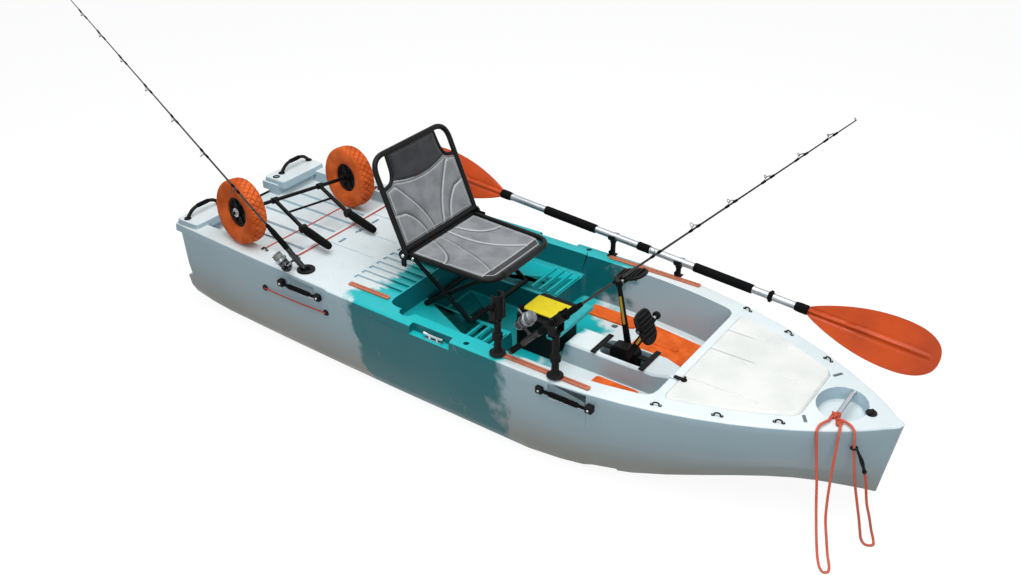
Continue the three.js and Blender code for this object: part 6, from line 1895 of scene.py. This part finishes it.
@dataclass
class Seat:
    """The folding seat: two tubed frames, crossed legs and quilted mesh panels."""

    pivot_x: float = -0.345
    pivot_z: float = 0.53
    half: float = 0.214
    tube: float = 0.011
    fore_x: float = 0.05
    fore_z: float = 0.524
    fore_half: float = 0.2
    bow: float = 0.07
    back_lean: float = 0.145
    back_rise: float = 0.343
    hole: float = 0.104
    sag: float = 0.014
    head_drop: float = 0.026
    play: float = 0.0003
    cloth_gap: float = 0.0018
    loop_share: float = 0.7
    floor: float = 0.3
    leg_top: float = 0.0077
    top_bar: float = 0.0074
    foot_bar: float = 0.0102
    foot_half: float = 0.0108
    leg_wall: float = 0.0039
    leg_step: float = 0.0089
    feet_x: Pair = (-0.062, -0.286)
    fore_reach: float = 0.2025
    fold: Profile = ((0.0016, -0.128), (0.0028, -0.124), (0.0028, 0.124), (0.0016, 0.128))
    fold_flat: Pair = (0.256, 0.06)
    fold_thickness: float = 0.0016
    fold_sweep: Pair = (250.0, -80.0)
    hinge_y: float = 0.2262
    hinge_bolt: float = 0.042

    def back_place(self) -> tuple[Matrix, float]:
        """Frame of the back, upright in its own Y-Z plane, and the back's height."""
        lift = self.pivot_z + 2 * self.tube + self.play
        lean = -atan2(self.back_lean, self.back_rise)
        place = shift(self.pivot_x, 0, lift) @ Matrix.Rotation(lean, 4, "Y")
        return place, hypot(self.back_lean, self.back_rise)

    def build(self) -> None:
        """Makes the frames, the legs and the panels."""
        self.pan_frame()
        self.back_frame()
        self.legs()
        Panel("seat_pan_panel", Body.SEAT, Finishes.MESH, (0.4, 0.37), 96, 104, 0.0045,
              (((0.1, 0.0), (0.12, 0.5), (0.62, 0.86)), ((0.34, 0.02), (0.5, 0.36), (0.98, 0.42))),
              ("seat_pan_mesh",), 0.875).build(self.pan_spot)
        Panel("seat_back_panel", Body.BACKREST, Finishes.MESH, (0.427, 0.25), 96, 104, 0.0045,
              (((0.12, 0.0), (0.2, 0.5), (0.74, 0.93)), ((0.33, 0.0), (0.44, 0.44), (0.98, 0.56))),
              ("seat_back_mesh",)).build(self.back_spot)
        Panel("seat_headrest", Body.BACKREST, Finishes.BAND, (0.29, 0.11), 40, 64,
            0.0065).build(self.head_spot)
        self.front_fold()
        for word, side in SIDES:
            self.hinge(word, side)

    def hoop(self, form: Form, corners: list[Point]) -> None:
        """Adds a tube bent round four corners, its straight crossbar and the balls where they meet."""
        form.sweep(rounded_path(corners, self.bow, 12), self.tube, rings=8)
        form.pole(min(corners[0], corners[3]), max(corners[0], corners[3]), self.tube - self.play)
        for end in (corners[0], corners[3]):
            form.ball(end, (self.tube, self.tube, self.tube))

    def pan_frame(self) -> None:
        """Makes the bowed tube round the pan."""
        form = Form()
        self.hoop(form, [(self.pivot_x, self.half, self.pivot_z), (self.fore_x, self.fore_half, self.fore_z),
            (self.fore_x, -self.fore_half, self.fore_z), (self.pivot_x, -self.half, self.pivot_z)])
        form.settle("seat_pan_tubes", Body.SEAT, Finishes.TUBE, ("seat_pan_frame",))

    def back_frame(self) -> None:
        """Makes the back's tube with its two hand-hole loops."""
        place, height = self.back_place()
        half = self.half + self.tube
        form = Form(place)
        self.hoop(form, [(0, half, 0), (0, half, height), (0, -half, height), (0, -half, 0)])
        for side in (STARBOARD, PORT):
            form.sweep([(0, side * p.y, p.z) for p in self.loop_path(height)], self.tube * self.loop_share,
                rings=6)
        form.settle("seat_back_tubes", Body.BACKREST, Finishes.TUBE, ("seat_back_frame",))

    def pan_level(self, x: float) -> float:
        """Height of the pan's tubes at a place along it."""
        return self.pivot_z + (self.fore_z - self.pivot_z) * (x - self.pivot_x) / (self.fore_x - self.pivot_x)

    def legs(self) -> None:
        """Makes the two crossed leg frames."""
        under = self.tube + self.leg_top + self.play
        ground = self.floor + self.tube + self.play
        fore_top = self.fore_x - self.bow
        wide = self.fore_half - self.tube
        self.leg("aft", Body.AFT_LEG, Vector((self.pivot_x, 0, self.pivot_z - under)),
            Vector((self.feet_x[0], 0, ground)), wide, self.half)
        self.leg("fore", Body.FORE_LEG, Vector((fore_top, 0, self.pan_level(fore_top) - under)),
            Vector((self.feet_x[1], 0, ground)), wide - self.leg_step, self.fore_reach)

    def leg(self, word: str, body: Body, top: Vector, foot: Vector, y: float, reach: float) -> None:
        """Makes one leg frame: two flat bars, the bar they turn on and the bar they stand on.

        Args:
            word: Which end of the pan it hangs on.
            body: The body that carries it.
            top: Middle of its upper bar.
            foot: Middle of its lower bar.
            y: Half the distance between its flat bars.
            reach: Half the length of its upper bar.
        """
        form = Form()
        along = (foot - top).normalized()
        across = Vector((-along.z, 0, along.x))
        spots = [top + across * self.top_bar, top - across * self.top_bar, foot - across * self.foot_half,
            foot + across * self.foot_half]
        for side in (STARBOARD, PORT):
            form.plate([(p.x, p.z) for p in spots], -self.leg_wall, self.leg_wall, standing(side * y))
            form.pole((foot.x, side * (y - 0.004), foot.z), (foot.x, side * (y + 0.004), foot.z), 0.0109)
        form.pole((top.x, -reach, top.z), (top.x, reach, top.z), self.top_bar)
        form.pole((foot.x, -y, foot.z), (foot.x, y, foot.z), self.foot_bar)
        form.settle(f"seat_leg_{word}_bars", body, Finishes.TUBE, (f"seat_leg_{word}",), bevel=0.001)

    def pan_spot(self, u: float, v: float, out: float) -> Vector:
        """Place of a point of the pan panel: across, from aft to fore, and out of its face."""
        clear = self.tube + self.cloth_gap
        aft, fore = self.pivot_x + clear, self.fore_x - clear
        x = aft + (fore - aft) * v
        corner = max(0.0, (x - fore + self.bow) / self.bow)
        wide = self.half + (self.fore_half - self.half) * v - clear - 0.62 * self.bow * corner * corner
        z = self.pan_level(x) - self.sag * sin(pi * v) * (1 - u * u)
        return Vector((x, u * wide, z + out))

    def loop_path(self, height: float) -> list[Vector]:
        """Centreline of the port hand-hole loop in the back's own plane."""
        half, hole = self.half + self.tube, self.hole
        loop = [(0, half, height - hole * 1.25), (0, half - hole * 0.72, height - hole * 1.1),
            (0, half - hole * 0.8, height)]
        return rounded_path(loop, hole * 0.6, 10)

    def cloth_rim(self, height: float) -> list[Vector]:
        """Edge of the cloth along the port hand-hole loop, clear of its tube, from the side to the top."""
        loop = self.loop_path(height)
        rim = []
        for a, b in zip(loop, loop[1:]):
            way = (b - a).normalized()
            rim.append(a + Vector((0, -way.z, way.y)) * (self.tube * self.loop_share + 0.0012))
        return rim

    def rim_corner(self, height: float) -> Vector:
        """Point of the cloth's edge where the headrest's lower seam meets the loop."""
        return max(self.cloth_rim(height), key=lambda p: -p.y - p.z)

    def top_line(self, y: float, height: float) -> float:
        """Height of the seam between the grey panel and what is above it."""
        corner = self.rim_corner(height)
        if y <= corner.y:
            return corner.z - self.head_drop * (1 - (y / corner.y) ** 2)
        rim = self.cloth_rim(height)
        for a, b in zip(rim, rim[1:]):
            if b.y <= y <= a.y:
                return a.z + (b.z - a.z) * (a.y - y) / max(a.y - b.y, 1e-6)
        return rim[0].z

    def back_spot(self, u: float, v: float, out: float) -> Vector:
        """Place of a point of the back panel: across, up and out of its front face."""
        place, height = self.back_place()
        inner = self.half - self.play
        low = self.tube + self.play
        top = self.top_line(abs(u) * inner, height)
        return place @ Vector((out + 0.0004, u * inner, low + (top - low) * v))

    def head_spot(self, u: float, v: float, out: float) -> Vector:
        """Place of a point of the headrest band: across, up and out of its front face."""
        place, height = self.back_place()
        corner = self.rim_corner(height)
        top = height - self.tube * 0.6
        level = corner.z + (top - corner.z) * v
        rim = [p for p in self.cloth_rim(height) if p.z >= corner.z]
        wide = min(rim, key=lambda p: abs(p.z - level)).y
        for a, b in zip(rim, rim[1:]):
            if a.z <= level <= b.z:
                wide = a.y + (b.y - a.y) * (level - a.z) / max(b.z - a.z, 1e-6)
        low = self.top_line(abs(u) * corner.y, height) + 0.0012
        return place @ Vector((out + 0.003, u * wide, low + (top - low) * v))

    def front_fold(self) -> None:
        """Makes the dark cloth fold that wraps the pan's front tube."""
        form = Form()
        profile = [(self.tube + r, y) for r, y in self.fold]
        place = shift(self.fore_x, 0, self.fore_z) @ outward(STARBOARD)
        form.turned(profile, place, 28, self.fold_sweep[0], False, self.fold_sweep[1])
        made = form.settle("seat_front_fold", Body.SEAT, Finishes.BAND, smooth=60)
        thick = made.modifiers.new("cloth", "SOLIDIFY")
        thick.thickness = self.fold_thickness
        thick.offset = -1.0

    def hinge(self, word: str, side: int) -> None:
        """Makes one recline hinge: its bracket, its knob and its plated bolts."""
        place = shift(self.pivot_x, 0, self.pivot_z) @ mirror(side)
        plate, knob, bolts = Form(place), Form(place), Form(place)
        y, x = self.hinge_y, self.hinge_bolt
        plate.block((-0.02, y - 0.0022, -0.014), (0.055, y + 0.0022, 0.014))
        knob.pole((0, y + 0.0022, 0.004), (0, y + 0.0132, 0.004), 0.0235, 0.0215, 24)
        knob.block((-0.011, y + 0.0042, -0.044), (0.011, y + 0.0122, 0))
        bolts.pole((0, y + 0.013, 0.004), (0, y + 0.0162, 0.004), 0.009, 0.0076, 6)
        bolts.pole((x, y + 0.0013, 0), (x, y + 0.0078, 0), 0.0075, 0.0062, 6)
        plate.settle(f"seat_hinge_plate_{word}", Body.SEAT, Finishes.TUBE, bevel=0.002)
        knob.settle(f"seat_hinge_knob_{word}", Body.SEAT, Finishes.PLASTIC, bevel=0.0022)
        bolts.settle(f"seat_hinge_bolts_{word}", Body.SEAT, Finishes.CHROME, bevel=0.0005)


@dataclass
class Cart:
    """The folding trolley lying across the tank well on its two balloon tyres."""

    spot: Point = (-1.086, -0.055, 0.52422)
    track: float = 0.577
    yaw: float = 8.0
    rise: float = 0.0413
    tyre: float = 0.138
    half_width: float = 0.039
    rim: float = 0.064
    hub_half: float = 0.026
    play: float = 0.0003
    collar: float = 0.013
    collar_length: float = 0.018
    arm_y: float = 0.12
    arm: float = 0.0088
    knee: Pair = (0.19, -0.066)
    arm_end: Pair = (0.24, -0.0724)
    brace: Pair = (0.084, -0.0292)
    foam: float = 0.018
    foam_ends: tuple[Pair, Pair] = ((0.203, -0.0677), (0.361, -0.0879))
    foam_shares: tuple[float, ...] = (0.86, 0.98, 1.0, 1.0, 1.0, 0.985, 0.98, 0.965, 0.95, 0.94, 0.92, 0.88,
        0.74)
    side_shares: Profile = ((0.0, 0.62), (0.12, 0.78), (0.28, 0.92), (0.5, 0.985), (0.72, 0.975), (0.85, 0.9),
        (0.91, 0.82))
    crown_steps: int = 17
    crown_share: float = 0.76
    crown_drop: float = 0.06
    tyre_steps: int = 300
    lugs: int = 15
    lug_lean: float = 3.6
    lug_depth: float = 0.0046
    hub_spokes: int = 6
    spoke_half: float = 0.0032

    def place(self) -> Matrix:
        """The trolley's own frame, with its axle along Y."""
        roll = asin(self.rise / self.track)
        return Matrix.Translation(self.spot) @ rotate(-self.yaw, "Z") @ Matrix.Rotation(-roll, 4, "X")

    def build(self) -> None:
        """Makes the frame, the foam pads and both wheels."""
        self.frame_tubes()
        self.axle()
        for word, side in SIDES:
            self.pad(word, side)
        self.wheel("port", PORT, Body.PORT_WHEEL)
        self.wheel("starboard", STARBOARD, Body.STARBOARD_WHEEL)

    def frame_tubes(self) -> None:
        """Makes the collars, the arms and the brace."""
        form = Form(self.place())
        inner = self.track / 2 - self.hub_half - self.play
        (knee_x, knee_z), (end_x, end_z), (brace_x, brace_z) = self.knee, self.arm_end, self.brace
        for side in (STARBOARD, PORT):
            y = side * self.arm_y
            form.pole((0, side * (inner - self.collar_length), 0), (0, side * inner, 0), self.collar)
            form.sweep(rounded_path([(0, y, 0), (knee_x, y, knee_z), (end_x, y, end_z)], 0.012), self.arm,
                rings=6)
            form.pole((knee_x, y - 0.013, knee_z), (knee_x, y + 0.013, knee_z), 0.018)
            form.pole((0, y - 0.014, 0), (0, y + 0.014, 0), 0.0135)
        form.pole((brace_x, -self.arm_y, brace_z), (brace_x, self.arm_y, brace_z), 0.0049)
        form.settle("cart_arms", Body.CART, Finishes.TUBE, ("cart_frame",), bevel=0.0012)

    def axle(self) -> None:
        """Makes the axle with its pins, the knee bolts and the hub caps."""
        axle, caps = Form(self.place()), Form(self.place())
        outer = self.track / 2 + self.hub_half
        tip = outer + 0.017
        knee_x, knee_z = self.knee
        axle.pole((0, -tip, 0), (0, tip, 0), 0.0079)
        for side in (STARBOARD, PORT):
            hub, knee = side * (outer + self.play), side * (self.arm_y + 0.013)
            caps.pole((0, hub, 0), (0, hub + side * 0.008, 0), 0.0135, 0.0115)
            caps.pole((0, hub, 0), (0, hub + side * 0.0019, 0), 0.019)
            axle.pole((knee_x, knee, knee_z), (knee_x, knee + side * 0.0035, knee_z), 0.0085, 0.0075, 6)
            axle.ring((0, side * (tip - 0.003), 0.004), (1, 0, 0), 0.0105, 0.0011, 20)
        axle.settle("cart_axle", Body.CART, Finishes.TUBE, bevel=0.0006)
        caps.settle("cart_axle_caps", Body.CART, Finishes.SHAFT, bevel=0.0006)

    def pad(self, word: str, side: int) -> None:
        """Makes one of the black foam sleeves that carry the hull."""
        form = Form(self.place())
        start, end = (Vector((x, side * self.arm_y, z)) for x, z in self.foam_ends)
        last = len(self.foam_shares) - 1
        form.sweep([start.lerp(end, k / last) for k in range(last + 1)], self.foam, self.foam_shares, rings=8)
        made = form.settle(f"cart_foam_{word}", Body.CART, Finishes.RUBBER, smooth=60)

    def wheel(self, word: str, side: int, body: Body) -> None:
        """Makes one foam tyre with its cut tread, and its ribbed hub.

        Args:
            word: Port or starboard, in names.
            side: Port or starboard.
            body: The body that carries it.
        """
        place = self.place() @ shift(0, side * self.track / 2, 0) @ outward(STARBOARD)
        steps = self.crown_steps
        crown = [(1.0 - self.crown_drop * abs(k / steps) ** 4, self.crown_share * k / steps)
            for k in range(-steps, steps + 1)]
        shares = [*[(r, -w) for r, w in self.side_shares], *crown, *reversed(self.side_shares), (0.0, 0.0)]
        depth = self.tyre - self.rim
        form = Form(place)
        form.turned([(self.rim + depth * r, w * self.half_width) for r, w in shares], None, self.tyre_steps,
            closed=True)
        self.cut_tread(form, depth)
        form.settle(f"cart_wheel_{word}_tyre", body, Finishes.TYRE, (f"cart_tyre_{word}",), smooth=50)
        hub = Form(place)
        r, h = self.rim - 0.0006, self.hub_half
        half = [(r, h * 0.62), (r - 0.001, h * 0.7), (r * 0.9, h * 0.7), (r * 0.86, h * 0.62),
            (r * 0.8, h / 3), (0.021, h / 3), (0.0195, h * 0.6), (0.017, h), (0.0086, h)]
        hub.turned(both_ends(half), None, 48, closed=True)
        for i in range(self.hub_spokes):
            hub.block((0.017, -self.spoke_half, -h * 0.58), (r * 0.87, self.spoke_half, h * 0.58))
            spin = Matrix.Rotation(tau * i / self.hub_spokes, 4, "Z")
            bmesh.ops.transform(hub.bm, matrix=spin, verts=list(hub.bm.verts)[-8:])
        hub.settle(f"cart_wheel_{word}_hub", body, Finishes.PLASTIC, (f"cart_hub_{word}",), bevel=0.0008)

    def cut_tread(self, form: Form, depth: float) -> None:
        """Sinks the crossing grooves of the tread and marks them in the tyre's mask, which the tyre's finish
        paints darker as shade.
        """
        mask = form.bm.verts.layers.float.new("cut")
        for vert in form.bm.verts:
            radius = hypot(vert.co.x, vert.co.y)
            share, wide = (radius - self.rim) / depth, vert.co.z / self.half_width
            if share < 0.8:
                continue
            angle = atan2(vert.co.y, vert.co.x) * self.lugs
            near = min(abs(sin(angle + sign * wide * self.lug_lean)) for sign in (-1, 1))
            if abs(wide) > 0.72:
                near = abs(sin(angle + 0.4))
            cut = min(max(1.25 - near / 0.22, 0.0), 1.0) * min((share - 0.8) / 0.1, 1.0)
            vert.co.xy *= (radius - self.lug_depth * cut) / radius
            vert[mask] = cut


@dataclass
class Cockpit:
    """The console with its yellow lid, and the foam pads on the floor."""

    rim_z: Pair = (0.3515, 0.3595)
    rim_aft: float = 0.087
    rim_fore: float = 0.249
    rim_half: float = 0.065
    side_wall: float = 0.0065
    fore_wall: float = 0.0045
    tab_y: float = 0.03
    tab_half: float = 0.009

    def build(self) -> None:
        """Dresses the console and makes the pads."""
        dress_node("console_box", Finishes.PLASTIC, 0.002)
        dress_node("console_lid", Finishes.YELLOW, 0.002)
        rim, latch = Form(), Form()
        (low, high), half = self.rim_z, self.rim_half
        rim.block((self.rim_fore - self.fore_wall, -half, low), (self.rim_fore, half, high))
        for side in (STARBOARD, PORT):
            inner, outer = sorted((side * half, side * (half - self.side_wall)))
            rim.block((self.rim_aft, inner, low), (self.rim_fore, outer, high))
            y = side * self.tab_y
            latch.block((0.2435, y - self.tab_half, 0.3605), (0.2505, y + self.tab_half, 0.3645))
        rim.settle("console_lid_frame", Body.HULL, Finishes.PLASTIC, bevel=0.0015)
        latch.settle("console_lid_tabs", Body.BOX_LID, Finishes.PLASTIC, bevel=0.001)
        for end in ("fore", "aft"):
            for word, _ in SIDES:
                self.pad(f"floor_pad_{end}_{word}")

    @staticmethod
    def pad(name: str) -> None:
        """Makes one foam pad from its solid, with rolled edges."""
        form = Form()
        form.bm.from_mesh(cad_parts[name].data)
        bmesh.ops.remove_doubles(form.bm, verts=form.bm.verts, dist=2e-5)
        bmesh.ops.dissolve_limit(form.bm, angle_limit=radians(1), verts=form.bm.verts, edges=form.bm.edges)
        for layer in list(form.bm.loops.layers.uv.values()):
            form.bm.loops.layers.uv.remove(layer)
        made = form.settle(f"{name}_foam", Body.HULL, Finishes.FOAM, (name,), bevel=0.0022)


def rods() -> list[RodAndReel]:
    """Both fishing rods in their places.

    Returns:
        The rear rod in the recessed holder and the fore rod in its cradle.
    """
    rear = shift(-0.741, -0.377, 0.406) @ rotate(-41.3, "Y") @ rotate(9.5, "X") @ rotate(90, "Z")
    fore = shift(0.474, -0.42, 0.64) @ rotate(43.6, "Y") @ shift(0.007316, 0, -0.104)
    return [
        RodAndReel("rear", rear, 0.062, STARBOARD, Body.REAR_ROD, Body.REAR_SPOOL, Body.REAR_REEL_CRANK),
        RodAndReel("fore", fore, -0.046, PORT, Body.FORE_ROD, Body.FORE_SPOOL, Body.FORE_REEL_CRANK),
    ]


def main() -> None:
    """Builds the view, the ropes and every sub-assembly."""
    View().build()
    BowRopes().build()
    Studio().build()
    HullFittings().build()
    RodHolders().build()
    for rod in rods():
        rod.build()
    Paddle().build()
    PedalDrive().build()
    Seat().build()
    Cart().build()
    Cockpit().build()


if __name__ == "__main__":
    logging.basicConfig(level=logging.INFO, format="%(message)s")
    main()
